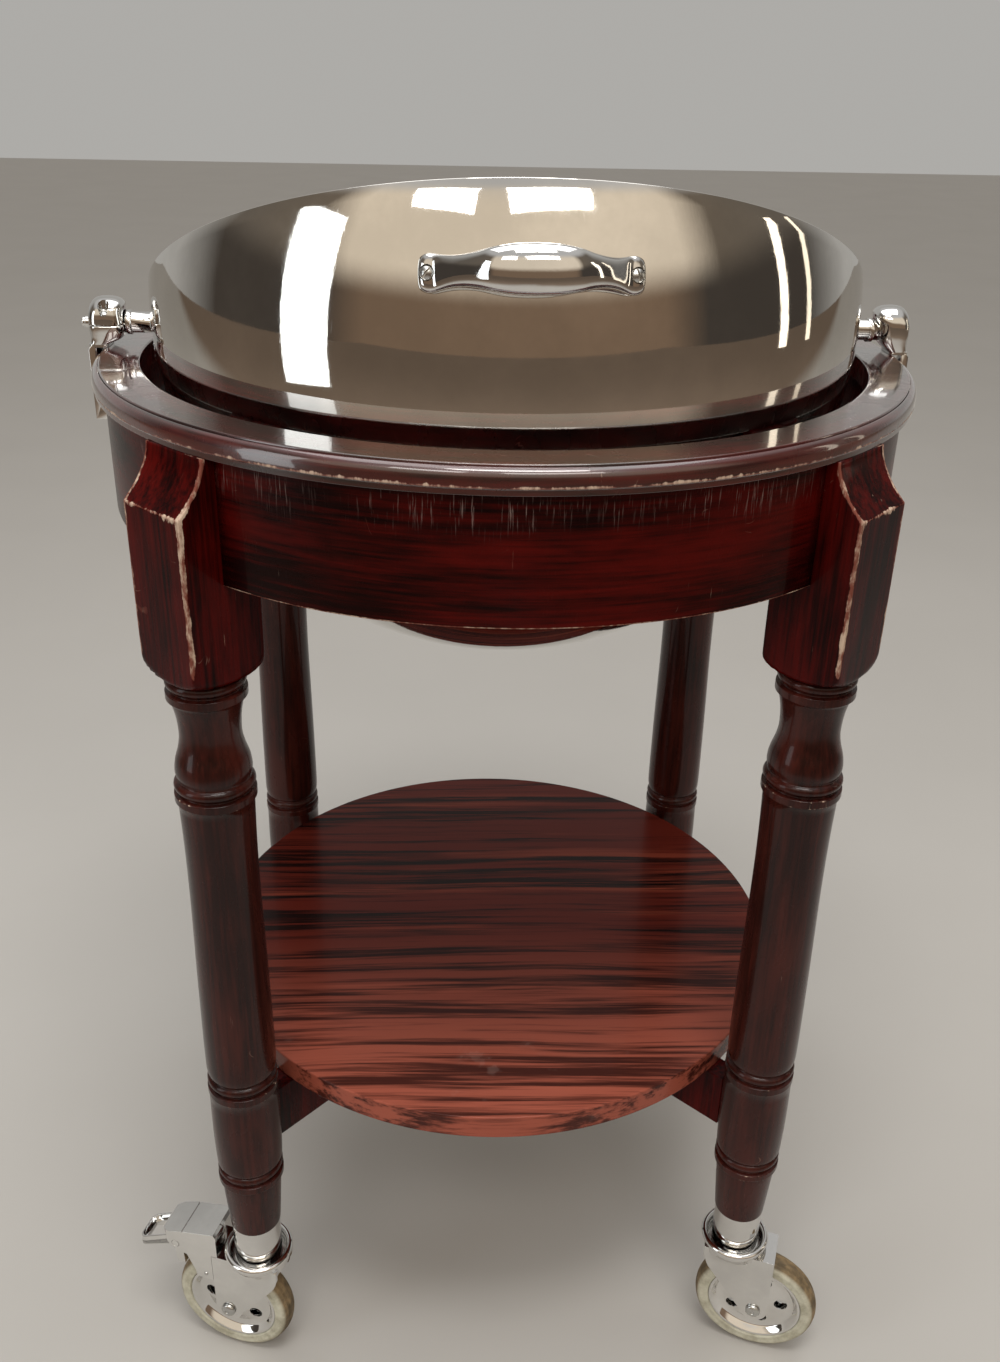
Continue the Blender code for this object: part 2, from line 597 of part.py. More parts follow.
def bracket_front_outline():
    """Front view of the right bracket, as (x, z): head, foot on the ring and strap down past the moulding."""
    inner = BRACKET_INNER_FACE
    outer = BRACKET_OUTER_FACE
    foot = RING_TOP_HEIGHT + GAP
    top = PIVOT_HEIGHT + BRACKET_HEAD_RADIUS
    tail = RING_BOTTOM_HEIGHT - BRACKET_TAIL_DEPTH
    pad_face = APRON_OUTER_RADIUS + GAP
    shoulder = BRACKET_SHOULDER
    foot_inner = inner + BRACKET_HEAD_WIDTH * 0.42
    outline = [(foot_inner, foot), (inner + shoulder / 2, foot + shoulder / 2), (inner, foot + shoulder)]
    outline += arc((inner + shoulder, top - shoulder), shoulder, 180, 90, 3)
    outline += arc((outer - shoulder, top - shoulder), shoulder, 90, 0, 3)
    outline += [(outer, foot + shoulder / 2), (STRAP_OUTER_FACE, foot - GAP), (STRAP_OUTER_FACE, tail)]
    outline += [(pad_face, tail), (pad_face, tail + BRACKET_TAIL_PAD_HEIGHT)]
    outline += [(STRAP_INNER_FACE, tail + BRACKET_TAIL_PAD_HEIGHT), (STRAP_INNER_FACE, foot)]
    return outline


def make_bracket(name, side, bore_end):
    """A pivot bracket on the +X or -X side: a cast head with the bore, and a strap down the ring's edge."""
    strap_half = BRACKET_STRAP_WIDTH / 2
    outline = [(side * x, z) for x, z in bracket_front_outline()]
    body = prism(name, outline, -BRACKET_HEAD_RADIUS, BRACKET_HEAD_RADIUS, "Y")
    squeeze = BRACKET_HEAD_HALF_DEPTH / BRACKET_HEAD_RADIUS
    head = [(y * squeeze, z) for y, z in arc((0, PIVOT_HEIGHT), BRACKET_HEAD_RADIUS, 0, 180, 11)]
    neck = RING_TOP_HEIGHT + BRACKET_SHOULDER / 2
    side_view = [(-strap_half, 0), (strap_half, 0), (strap_half, neck)] + head + [(-strap_half, neck)]
    reach = RING_RADIUS + BRACKET_HEAD_WIDTH
    shape = prism("side_view", side_view, -reach, reach, "X")
    carve(body, "INTERSECT", shape)
    steps = (
        (JOURNAL_RADIUS + GAP, BRACKET_INNER_FACE - CUT_OVERRUN, JOURNAL_END + GAP),
        (SHAFT_PIN_RADIUS + GAP, JOURNAL_END + GAP, bore_end),
    )
    bore = stepped_cutter(steps, side, "X", (0, 0, PIVOT_HEIGHT))
    return carve(body, "DIFFERENCE", bore)


def make_pivots():
    """Split bearing block on the left, plain bracket on the right, and the fixed pins that carry the pan."""
    reach = BRACKET_OUTER_FACE + BRACKET_HEAD_WIDTH
    screw_x = -(BRACKET_INNER_FACE + BRACKET_OUTER_FACE) / 2
    screw_seat = PIVOT_HEIGHT + CAP_SCREW_GRIP
    screw_foot = PIVOT_HEIGHT - CAP_SCREW_GRIP
    through = BRACKET_OUTER_FACE + CUT_OVERRUN
    over = PIVOT_HEIGHT + BRACKET_HEAD_RADIUS + CUT_OVERRUN
    parts = (("bearing_block", PIVOT_HEIGHT - GAP / 2, over), ("bearing_cap", 0, PIVOT_HEIGHT + GAP / 2))
    for name, cut_low, cut_high in parts:
        half = make_bracket(name, -1, through)
        waste = box("waste", (-reach, -reach, cut_low), (reach, reach, cut_high))
        carve(half, "DIFFERENCE", waste)
        for side in (-1, 1):
            steps = (
                (CAP_SCREW_RADIUS + GAP, screw_foot - GAP, screw_seat - GAP),
                (CAP_SCREW_HEAD_RADIUS + GAP, screw_seat - GAP, over),
            )
            carve(half, "DIFFERENCE", stepped_cutter(steps, centre=(screw_x, side * CAP_SCREW_OFFSET, 0)))
        dressed(half, CHROME)
    dressed(make_bracket("pivot_bracket", 1, JOURNAL_END + CUT_OVERRUN), CHROME)
    for side, word in ((-1, "front"), (1, "back")):
        screw = [
            (0, screw_foot),
            (CAP_SCREW_RADIUS, screw_foot),
            (CAP_SCREW_RADIUS, screw_seat),
            (CAP_SCREW_HEAD_RADIUS, screw_seat),
            (CAP_SCREW_HEAD_RADIUS, screw_seat + CAP_SCREW_HEAD_HEIGHT),
            (0, screw_seat + CAP_SCREW_HEAD_HEIGHT),
        ]
        place = (screw_x, side * CAP_SCREW_OFFSET, 0)
        dressed(turned("cap_screw_" + word, screw, 10), SATIN_STEEL, location=place)
    ends = {"left": BRACKET_OUTER_FACE + SHAFT_PIN_PROUD, "right": JOURNAL_END + CUT_OVERRUN - GAP}
    head = HANGER_INNER_FACE - GAP
    for word, side in (("left", -1), ("right", 1)):
        pin = [
            (0, head - SHAFT_PIN_HEAD_THICKNESS),
            (SHAFT_PIN_HEAD_RADIUS, head - SHAFT_PIN_HEAD_THICKNESS),
            (SHAFT_PIN_HEAD_RADIUS, head),
            (SHAFT_PIN_RADIUS, head),
            (SHAFT_PIN_RADIUS, ends[word]),
            (0, ends[word]),
        ]
        pin = [(radius, side * along) for radius, along in pin]
        dressed(turned("pivot_pin_" + word, pin, 12, "X", (0, 0, PIVOT_HEIGHT)), CHROME)


def on_lid(radius, across, along, side):
    """A point at a radius of the lid's sphere, beside the pivot, in the pivot's frame with the lid shut."""
    depth = math.sqrt(radius ** 2 - across ** 2 - (along + LID_OFFSET) ** 2)
    return (side * depth, across, along)


def make_hinge_plate(name, side):
    """A strap with rounded ends, bent to the lid's sphere, with the pin hole and a screw hole."""
    stations = 8
    columns = 4
    span = PLATE_LENGTH_ABOVE + PLATE_LENGTH_BELOW
    points = []
    for radius in (PLATE_INNER_RADIUS, PLATE_OUTER_RADIUS):
        for station in range(stations + 1):
            share = station / stations
            along = -PLATE_LENGTH_BELOW + span * (1 - math.cos(math.pi * share)) / 2
            near_end = min(along + PLATE_LENGTH_BELOW, PLATE_LENGTH_ABOVE - along)
            inset = max(PLATE_HALF_WIDTH - near_end, 0)
            half = math.sqrt(max(PLATE_HALF_WIDTH ** 2 - inset ** 2, (PLATE_HALF_WIDTH / 4) ** 2))
            for column in range(columns + 1):
                across = half * (2 * column / columns - 1)
                points.append(on_lid(radius, across, along, side))
    row = columns + 1
    layer = row * (stations + 1)
    faces = []
    for station in range(stations):
        for column in range(columns):
            first = station * row + column
            faces.append([first, first + 1, first + row + 1, first + row])
            faces.append([layer + first, layer + first + row, layer + first + row + 1, layer + first + 1])
    border = [(column, column + 1) for column in range(columns)]
    border += [(stations * row + column + 1, stations * row + column) for column in range(columns)]
    border += [((station + 1) * row, station * row) for station in range(stations)]
    border += [(station * row + columns, (station + 1) * row + columns) for station in range(stations)]
    faces += [[first, after, after + layer, first + layer] for first, after in border]
    plate = solid(name, points, faces)
    return cut_pivot_holes(plate, side)


def cut_pivot_holes(thing, side):
    """The pin hole and the screw hole that a hinge plate and the lid share."""
    near = LID_RADIUS - JOURNAL_COLLAR_RADIUS
    far = LID_RADIUS + JOURNAL_COLLAR_RADIUS
    ends = sorted((side * near, side * far))
    carve(thing, "DIFFERENCE", cylinder("pin_hole", JOURNAL_BORE_RADIUS, *ends, 12, "X"))
    place = (0, 0, PLATE_SCREW_OFFSET)
    return carve(thing, "DIFFERENCE", cylinder("hole", PLATE_SCREW_RADIUS + GAP, *ends, 8, "X", place))


def make_lid():
    """Half-sphere lid with its hinge plates, hollow journals, handle and screws, on the pivot's empty."""
    pivot = empty("lid_pivot", (0, 0, PIVOT_HEIGHT), rotation=(math.radians(LID_OPEN_ANGLE), 0, 0))
    inner_radius = LID_RADIUS - LID_THICKNESS
    quarter = [math.pi / 2 * ring / LID_RINGS for ring in range(LID_RINGS)]
    profile = [(LID_RADIUS * math.cos(angle), LID_RADIUS * math.sin(angle)) for angle in quarter]
    profile += [(0, LID_RADIUS), (0, inner_radius)]
    profile += [(inner_radius * math.cos(angle), inner_radius * math.sin(angle)) for angle in quarter[::-1]]
    shell = turned("lid_shell", profile, LID_STEPS, centre=(0, 0, -LID_OFFSET))
    for side in (-1, 1):
        cut_pivot_holes(shell, side)
    bases = []
    for side in (-1, 1):
        bases.append(handle_place(side * HANDLE_SCREW_SPACING / 2, 0, 0))
    for base in bases:
        hole = cylinder("hole", HANDLE_SCREW_RADIUS + GAP, -BEAD_RADIUS, BEAD_RADIUS, 8)
        hole.data.transform(base)
        carve(shell, "DIFFERENCE", hole)
    dressed(shell, POLISHED_STEEL, pivot)

    for word, side in (("left", -1), ("right", 1)):
        dressed(make_hinge_plate("hinge_plate_" + word, side), CHROME, pivot)
        collar_end = BRACKET_INNER_FACE - GAP
        collar_start = collar_end - JOURNAL_COLLAR_WIDTH
        journal = [
            (JOURNAL_BORE_RADIUS, JOURNAL_START),
            (JOURNAL_RADIUS, JOURNAL_START),
            (JOURNAL_RADIUS, collar_start),
            (JOURNAL_COLLAR_RADIUS, collar_start),
            (JOURNAL_COLLAR_RADIUS, collar_end),
            (JOURNAL_RADIUS, collar_end),
            (JOURNAL_RADIUS, JOURNAL_END),
            (JOURNAL_BORE_RADIUS, JOURNAL_END),
        ]
        journal = [(radius, side * along) for radius, along in journal]
        dressed(turned("lid_journal_" + word, journal, SMALL_STEPS, "X"), CHROME, pivot)
        seat = on_lid(PLATE_OUTER_RADIUS, 0, PLATE_SCREW_OFFSET, 1)[0] + GAP
        tail = on_lid(inner_radius, 0, PLATE_SCREW_OFFSET, 1)[0] - PLATE_SCREW_HEAD_HEIGHT
        screw = [
            (0, tail),
            (PLATE_SCREW_RADIUS, tail),
            (PLATE_SCREW_RADIUS, seat + GAP),
            (PLATE_SCREW_HEAD_RADIUS, seat + GAP),
            (PLATE_SCREW_HEAD_RADIUS * 0.8, seat + PLATE_SCREW_HEAD_HEIGHT),
            (0, seat + PLATE_SCREW_HEAD_HEIGHT),
        ]
        screw = [(radius, side * along) for radius, along in screw]
        place = (0, 0, PLATE_SCREW_OFFSET)
        dressed(turned("plate_screw_" + word, screw, 10, "X", place), SATIN_STEEL, pivot)

    dressed(make_handle(), CHROME, pivot)
    for word, base in zip(("left", "right"), bases):
        seat = 2 * HANDLE_LOBE_HALF_DEPTH + GAP + GAP
        tail = -LID_THICKNESS - HANDLE_SCREW_HEAD_HEIGHT
        screw = [
            (0, tail),
            (HANDLE_SCREW_RADIUS, tail),
            (HANDLE_SCREW_RADIUS, seat),
            (HANDLE_SCREW_HEAD_RADIUS, seat),
            (HANDLE_SCREW_HEAD_RADIUS * 0.8, seat + HANDLE_SCREW_HEAD_HEIGHT),
            (0, seat + HANDLE_SCREW_HEAD_HEIGHT),
        ]
        screw = turned("handle_screw_" + word, screw, 10)
        screw.data.transform(base)
        dressed(screw, SATIN_STEEL, pivot)
    return pivot


def handle_place(across, up, out):
    """Matrix of a spot on the lid at the handle: X along the handle, Y up the lid, Z out of the sphere."""
    lean = math.radians(HANDLE_ANGLE)
    swing = math.asin(across / LID_RADIUS)
    outward = Vector((math.sin(swing), math.cos(swing) * math.cos(lean), math.cos(swing) * math.sin(lean)))
    upward = Vector((0, -math.sin(lean), math.cos(lean)))
    along = upward.cross(outward)
    centre = Vector((0, 0, -LID_OFFSET)) + outward * (LID_RADIUS + out) + upward * up
    frame = Matrix((along, upward, outward)).transposed().to_4x4()
    return Matrix.Translation(centre) @ frame


def make_handle():
    """Cast bow handle: round lobes on the lid, narrow necks and a swelling grip that stands clear of it."""
    half_length = HANDLE_LENGTH / 2
    crown = LID_RADIUS - math.sqrt(LID_RADIUS ** 2 - half_length ** 2)
    lift = HANDLE_FINGER_GAP + HANDLE_SWELL_HALF_DEPTH
    lobe_shares = (
        (1.0, 0.35, 0.45, 0.0),
        (0.975, 0.75, 0.8, 0.0),
        (0.91, 1.0, 1.0, 0.0),
        (0.8, 0.96, 1.0, 0.10),
    )
    neck_shares = ((0.68, 0.32), (0.54, 0.62))
    swell_shares = ((0.4, 0.30, 0.82), (0.24, 0.72, 0.95), (0.08, 0.97, 1.0))
    sections = []
    for reach, tall, deep, rise in lobe_shares:
        sections.append((reach, HANDLE_LOBE_HALF_HEIGHT * tall, HANDLE_LOBE_HALF_DEPTH * deep, rise))
    for reach, rise in neck_shares:
        sections.append((reach, HANDLE_NECK_HALF_HEIGHT, HANDLE_NECK_HALF_DEPTH, rise))
    for reach, tall, rise in swell_shares:
        half_height = HANDLE_NECK_HALF_HEIGHT + (HANDLE_SWELL_HALF_HEIGHT - HANDLE_NECK_HALF_HEIGHT) * tall
        half_depth = HANDLE_NECK_HALF_DEPTH + (HANDLE_SWELL_HALF_DEPTH - HANDLE_NECK_HALF_DEPTH) * tall
        sections.append((reach, half_height, half_depth, rise))
    sections = [(-reach, tall, deep, rise) for reach, tall, deep, rise in sections] + sections[::-1]
    frame = handle_place(0, 0, 0)
    base = HANDLE_LOBE_HALF_DEPTH - crown
    points = []
    for reach, half_height, half_depth, rise in sections:
        along = reach * half_length
        centre = base + (lift - base) * rise
        for step in range(HANDLE_STEPS):
            angle = 2 * math.pi * step / HANDLE_STEPS
            spot = Vector((along, half_height * math.cos(angle), centre + half_depth * math.sin(angle)))
            points.append(frame @ spot)
    count = len(sections)
    faces = [list(range(HANDLE_STEPS)), list(range((count - 1) * HANDLE_STEPS, count * HANDLE_STEPS))]
    for index in range(count - 1):
        for step in range(HANDLE_STEPS):
            nearby = (step + 1) % HANDLE_STEPS
            first = index * HANDLE_STEPS
            after = first + HANDLE_STEPS
            faces.append([first + step, first + nearby, after + nearby, after + step])
    handle = solid("lid_handle", points, faces)
    ball_steps = 40
    ball = [(0, -PLATE_INNER_RADIUS)]
    for step in range(1, ball_steps):
        angle = -math.pi / 2 + math.pi * step / ball_steps
        ball.append((PLATE_INNER_RADIUS * math.cos(angle), PLATE_INNER_RADIUS * math.sin(angle)))
    ball.append((0, PLATE_INNER_RADIUS))
    carve(handle, "DIFFERENCE", turned("ball", ball, ball_steps * 2, centre=(0, 0, -LID_OFFSET)))
    for side in (-1, 1):
        place = handle_place(side * HANDLE_SCREW_SPACING / 2, 0, 0)
        seat = 2 * HANDLE_LOBE_HALF_DEPTH + GAP
        hole = cylinder("hole", HANDLE_SCREW_RADIUS + GAP, -BEAD_RADIUS, BEAD_RADIUS, 8)
        hole.data.transform(place)
        carve(handle, "DIFFERENCE", hole)
        flat = cylinder("flat", HANDLE_SCREW_HEAD_RADIUS + GAP, seat, BEAD_RADIUS, 12)
        flat.data.transform(place)
        carve(handle, "DIFFERENCE", flat)
    return handle


def make_inside():
    """Hangers on the pivot pins, the water pan, the lift-out carving deck, and the burner in its cradle."""
    flange_low = PAN_TOP_HEIGHT - PAN_WALL_THICKNESS
    foot_top = flange_low - GAP
    foot_low = foot_top - HANGER_THICKNESS
    for word, side in (("left", -1), ("right", 1)):
        inner = HANGER_INNER_FACE
        outer = inner + HANGER_THICKNESS
        toe = outer - HANGER_THICKNESS - HANGER_FOOT_LENGTH
        top = PIVOT_HEIGHT + HANGER_TOP_MARGIN
        outline = [(toe, foot_low), (outer, foot_low), (outer, top)]
        outline += [(inner, top), (inner, foot_top), (toe, foot_top)]
        outline = [(side * x, z) for x, z in outline]
        hanger = prism("pan_hanger_" + word, outline, -HANGER_WIDTH / 2, HANGER_WIDTH / 2, "Y")
        ends = sorted((side * (inner - CUT_OVERRUN), side * (outer + CUT_OVERRUN)))
        hole = cylinder("hole", SHAFT_PIN_RADIUS + GAP, *ends, 12, "X", (0, 0, PIVOT_HEIGHT))
        dressed(carve(hanger, "DIFFERENCE", hole), SATIN_STEEL)

    wall = PAN_WALL_THICKNESS
    base = PAN_TOP_HEIGHT - PAN_DEPTH
    bend = PAN_WALL_RADIUS - PAN_BASE_RADIUS
    pan = [
        (0, base),
        (PAN_BASE_RADIUS, base),
        (PAN_WALL_RADIUS - bend / 4, base + bend * 0.75),
        (PAN_WALL_RADIUS, flange_low),
        (PAN_FLANGE_RADIUS, flange_low),
        (PAN_FLANGE_RADIUS, PAN_TOP_HEIGHT),
        (PAN_WALL_RADIUS - wall, PAN_TOP_HEIGHT),
        (PAN_WALL_RADIUS - bend / 4 - wall, base + bend * 0.75 + wall / 2),
        (PAN_BASE_RADIUS - wall / 2, base + wall),
        (0, base + wall),
    ]
    dressed(turned("water_pan", pan, PAN_STEPS), SATIN_STEEL)

    low = PAN_TOP_HEIGHT + GAP
    top = low + DECK_THICKNESS
    groove_low = top - DECK_GROOVE_DEPTH
    groove_in = DECK_GROOVE_RADIUS - DECK_GROOVE_WIDTH / 2
    groove_out = DECK_GROOVE_RADIUS + DECK_GROOVE_WIDTH / 2
    deck = [
        (0, low),
        (DECK_RADIUS - ARRIS, low),
        (DECK_RADIUS, low + ARRIS),
        (DECK_RADIUS, top + DECK_RIM_HEIGHT - ARRIS),
        (DECK_RADIUS - DECK_RIM_WIDTH / 2, top + DECK_RIM_HEIGHT),
        (DECK_RADIUS - DECK_RIM_WIDTH, top),
        (groove_out, top),
        (groove_out - DECK_GROOVE_DEPTH, groove_low),
        (groove_in + DECK_GROOVE_DEPTH, groove_low),
        (groove_in, top),
        (0, top),
    ]
    dressed(turned("carving_deck", deck, PAN_STEPS), SATIN_STEEL)

    span = CRADLE_HALF_SPAN
    thick = CRADLE_THICKNESS
    ceiling = base - GAP
    floor = ceiling - CRADLE_DROP
    foot = CRADLE_FOOT_LENGTH
    half_outline = [(span, floor), (span, ceiling - thick), (span + foot, ceiling - thick)]
    half_outline += [(span + foot, ceiling), (span - thick, ceiling), (span - thick, floor + thick)]
    outline = half_outline + [(-x, z) for x, z in half_outline[::-1]]
    cradle = prism("burner_cradle", outline, -CRADLE_WIDTH / 2, CRADLE_WIDTH / 2, "Y")
    dressed(cradle, SATIN_STEEL)
    seat = floor + thick + GAP
    shoulder = seat + BURNER_HEIGHT
    burner = [
        (0, seat),
        (BURNER_RADIUS, seat),
        (BURNER_RADIUS, shoulder - BURNER_WALL),
        (BURNER_RADIUS - BURNER_WALL, shoulder),
        (BURNER_NECK_RADIUS, shoulder),
        (BURNER_NECK_RADIUS, shoulder + BURNER_NECK_HEIGHT),
        (BURNER_NECK_RADIUS - BURNER_WALL, shoulder + BURNER_NECK_HEIGHT),
        (BURNER_NECK_RADIUS - BURNER_WALL, shoulder + BURNER_NECK_HEIGHT - BURNER_WELL_DEPTH),
        (0, shoulder + BURNER_NECK_HEIGHT - BURNER_WELL_DEPTH),
    ]
    dressed(turned("burner", burner, CASTER_STEPS), BURNER_BRASS)


def make_socket_mesh():
    """Chrome sleeve over the foot of a leg, with the swivel stem and its rivet head under it."""
    sleeve = SPIGOT_RADIUS + GAP
    floor = SOCKET_BOTTOM + SOCKET_FLOOR_THICKNESS
    head_top = FORK_CROWN_BOTTOM - GAP
    profile = [
        (0, head_top - STEM_HEAD_THICKNESS),
        (STEM_HEAD_RADIUS, head_top - STEM_HEAD_THICKNESS),
        (STEM_HEAD_RADIUS, head_top),
        (STEM_RADIUS, head_top),
        (STEM_RADIUS, SOCKET_BOTTOM),
        (SOCKET_RADIUS, SOCKET_BOTTOM),
        (SOCKET_RADIUS, SOCKET_TOP),
        (sleeve, SOCKET_TOP),
        (sleeve, floor),
        (0, floor),
    ]
    return turned("socket", profile, SMALL_STEPS)


def make_fork():
    """Swivel fork, its leading side towards -X: rolled cup, crown, bridge over the wheel, side plates."""
    axle_height = WHEEL_RADIUS
    eye = FORK_EYE_RADIUS
    leading = -FORK_LEADING_REACH
    trailing = FORK_TRAILING_REACH
    outline = [(leading, FORK_BRIDGE_TOP), (leading, FORK_CROWN_BOTTOM - eye / 2)]
    outline += arc((CASTER_TRAIL, axle_height), eye, 205, 360, 7)
    outline += [(trailing, FORK_BRIDGE_TOP)]
    fork = prism("fork", outline, -FORK_OUTER_HALF_WIDTH, FORK_OUTER_HALF_WIDTH, "Y")
    reach = trailing + eye
    roof = FORK_CROWN_BOTTOM - ARRIS
    space = box("space", (-reach, -FORK_INNER_HALF_WIDTH, 0), (reach, FORK_INNER_HALF_WIDTH, roof))
    carve(fork, "DIFFERENCE", space)
    cup_top = FORK_CROWN_HEIGHT + CUP_HEIGHT
    roll_height = cup_top - CUP_ROLL
    bore = STEM_RADIUS + GAP
    profile = [(bore, FORK_CROWN_BOTTOM), (CUP_RADIUS - ARRIS, FORK_CROWN_BOTTOM)]
    profile += [(CUP_RADIUS, FORK_CROWN_HEIGHT)]
    profile += arc((CUP_RIM_RADIUS - CUP_ROLL, roll_height), CUP_ROLL, -60, 90, 3)
    profile += [(CUP_INNER_RADIUS, cup_top), (CUP_INNER_RADIUS, FORK_CROWN_HEIGHT)]
    profile += [(bore, FORK_CROWN_HEIGHT)]
    clearance = cylinder("clearance", STEM_HEAD_RADIUS + GAP, 0, FORK_CROWN_HEIGHT, CASTER_STEPS)
    carve(fork, "DIFFERENCE", clearance)
    room = cylinder("room", CUP_RADIUS - ARRIS - ARRIS, FORK_CROWN_BOTTOM + ARRIS, cup_top, CASTER_STEPS)
    carve(fork, "DIFFERENCE", room)
    carve(fork, "UNION", turned("cup", profile, CASTER_STEPS))
    hole = cylinder("hole", AXLE_RADIUS + GAP, -reach, reach, 12, "Y", (CASTER_TRAIL, 0, axle_height))
    return carve(fork, "DIFFERENCE", hole)


def make_axle():
    """Axle about its own centre along Y, with a domed head on each side of the fork."""
    grip = FORK_OUTER_HALF_WIDTH + GAP
    end = grip + AXLE_HEAD_THICKNESS
    half = [(AXLE_RADIUS, grip), (AXLE_HEAD_RADIUS, grip), (AXLE_HEAD_RADIUS - ARRIS, end)]
    profile = [(0, -end)] + [(radius, -along) for radius, along in half[::-1]] + half + [(0, end)]
    return turned("axle", profile, 10, "Y")


def make_wheel():
    """Pressed wheel disc about its own centre, along Y: hub, dished web with round holes, and rim."""
    bore = AXLE_RADIUS + GAP
    web = WEB_THICKNESS / 2
    under_rim = RIM_RADIUS - RIM_THICKNESS
    half = [
        (bore, HUB_HALF_WIDTH),
        (HUB_RADIUS - ARRIS, HUB_HALF_WIDTH),
        (HUB_RADIUS, web),
        (under_rim - RIM_THICKNESS, web),
        (under_rim, RIM_HALF_WIDTH),
        (RIM_RADIUS, RIM_HALF_WIDTH),
    ]
    profile = [(radius, -along) for radius, along in half] + half[::-1]
    wheel = turned("wheel", profile, CASTER_STEPS, "Y")
    for count in range(WHEEL_HOLE_COUNT):
        angle = 2 * math.pi * count / WHEEL_HOLE_COUNT
        centre = (WHEEL_HOLE_CIRCLE_RADIUS * math.cos(angle), 0, WHEEL_HOLE_CIRCLE_RADIUS * math.sin(angle))
        hole = cylinder("hole", WHEEL_HOLE_RADIUS, -web - CUT_OVERRUN, web + CUT_OVERRUN, 8, "Y", centre)
        carve(wheel, "DIFFERENCE", hole)
    return wheel


def make_tyre():
    """Rubber tyre about its own centre, along Y, with the middle of a facet at the bottom."""
    half = [
        ((RIM_RADIUS + GAP) / math.cos(math.pi / TYRE_STEPS), TYRE_HALF_WIDTH - ARRIS),
        (WHEEL_RADIUS - TYRE_SHOULDER, TYRE_HALF_WIDTH),
        (WHEEL_RADIUS / math.cos(math.pi / TYRE_STEPS), TYRE_HALF_WIDTH - TYRE_SHOULDER),
    ]
    profile = [(radius, -along) for radius, along in half] + half[::-1]
    return turned("tyre", profile, TYRE_STEPS, "Y")


def make_brake_housing():
    """Chrome cover of the foot brake, outboard of the fork: a sloping roof with two cheeks."""
    near = CUP_RIM_RADIUS + CUP_ROLL
    shelf = FORK_BRIDGE_TOP + GAP
    beside = FORK_TRAILING_REACH + GAP
    cheek_low = FORK_CROWN_HEIGHT - BRAKE_CHEEK_DEPTH
    outline = [
        (near, shelf),
        (near, BRAKE_TOP_HEIGHT - ARRIS * 3),
        (near + ARRIS * 3, BRAKE_TOP_HEIGHT),
        (BRAKE_BODY_REACH, BRAKE_TOP_HEIGHT - (BRAKE_TOP_HEIGHT - BRAKE_TIP_TOP_HEIGHT) / 2),
        (BRAKE_TIP_REACH - ARRIS * 3, BRAKE_TIP_TOP_HEIGHT),
        (BRAKE_TIP_REACH, BRAKE_TIP_TOP_HEIGHT - ARRIS * 4),
        (BRAKE_TIP_REACH - ARRIS * 2, BRAKE_TIP_TOP_HEIGHT - BRAKE_ROOF_THICKNESS),
        (BRAKE_HINGE_REACH + BRAKE_PIN_RADIUS, BRAKE_HINGE_HEIGHT - BRAKE_PIN_RADIUS - BRAKE_PIN_MARGIN),
        (BRAKE_CHEEK_REACH + ARRIS * 4, FORK_CROWN_BOTTOM - ARRIS * 2),
        (BRAKE_CHEEK_REACH, cheek_low + ARRIS * 5),
        (BRAKE_CHEEK_REACH - ARRIS * 5, cheek_low),
        (beside, cheek_low),
        (beside, shelf),
    ]
    housing = prism("brake_housing", outline, -FORK_OUTER_HALF_WIDTH, FORK_OUTER_HALF_WIDTH, "Y")
    roof = BRAKE_TIP_TOP_HEIGHT - BRAKE_ROOF_THICKNESS + PEDAL_THICKNESS
    reach = BRAKE_TIP_REACH + CUT_OVERRUN
    side = FORK_INNER_HALF_WIDTH
    space = box("space", (beside - CUT_OVERRUN, -side, 0), (reach, side, roof))
    carve(housing, "DIFFERENCE", space)
    hinge = (BRAKE_HINGE_REACH, 0, BRAKE_HINGE_HEIGHT)
    hole = cylinder("hole", BRAKE_PIN_RADIUS + GAP, -reach, reach, 12, "Y", hinge)
    return carve(housing, "DIFFERENCE", hole)


def make_brake_pedal():
    """Foot pedal about its hinge: a sloping frame with a window, and a shoe that turns on to the tyre."""
    reach = PEDAL_LENGTH
    half_thick = PEDAL_THICKNESS / 2
    outline = [
        (-PEDAL_SHOE_SET - half_thick, -PEDAL_SHOE_DROP),
        (PEDAL_SHOE_SET / 2, -PEDAL_SHOE_DROP),
        (PEDAL_SHOE_SET, -half_thick - PEDAL_THICKNESS),
        (reach, -PEDAL_DROP - half_thick),
        (reach, -PEDAL_DROP + half_thick),
        (half_thick, half_thick),
        (-half_thick, half_thick),
        (-PEDAL_THICKNESS, -half_thick),
    ]
    pedal = prism("brake_pedal", outline, -PEDAL_HALF_WIDTH, PEDAL_HALF_WIDTH, "Y")
    side = PEDAL_HALF_WIDTH - PEDAL_FRAME_WIDTH
    low = (PEDAL_FRAME_WIDTH * 2, -side, -BRAKE_HINGE_HEIGHT)
    window = box("window", low, (reach - PEDAL_FRAME_WIDTH, side, BRAKE_HINGE_HEIGHT))
    carve(pedal, "DIFFERENCE", window)
    pin = cylinder("pin", BRAKE_PIN_RADIUS, -FORK_OUTER_HALF_WIDTH, FORK_OUTER_HALF_WIDTH, 12, "Y")
    return carve(pedal, "UNION", pin)


def shared(name, mesh, *place, **more):
    """Another object with a mesh that is already made."""
    thing = bpy.data.objects.new(name, mesh)
    bpy.context.scene.collection.objects.link(thing)
    return dressed(thing, *place, **more)


def taken_mesh(thing):
    """The mesh of a pattern object, which is then removed."""
    mesh = thing.data
    bpy.data.objects.remove(thing, do_unlink=True)
    return mesh


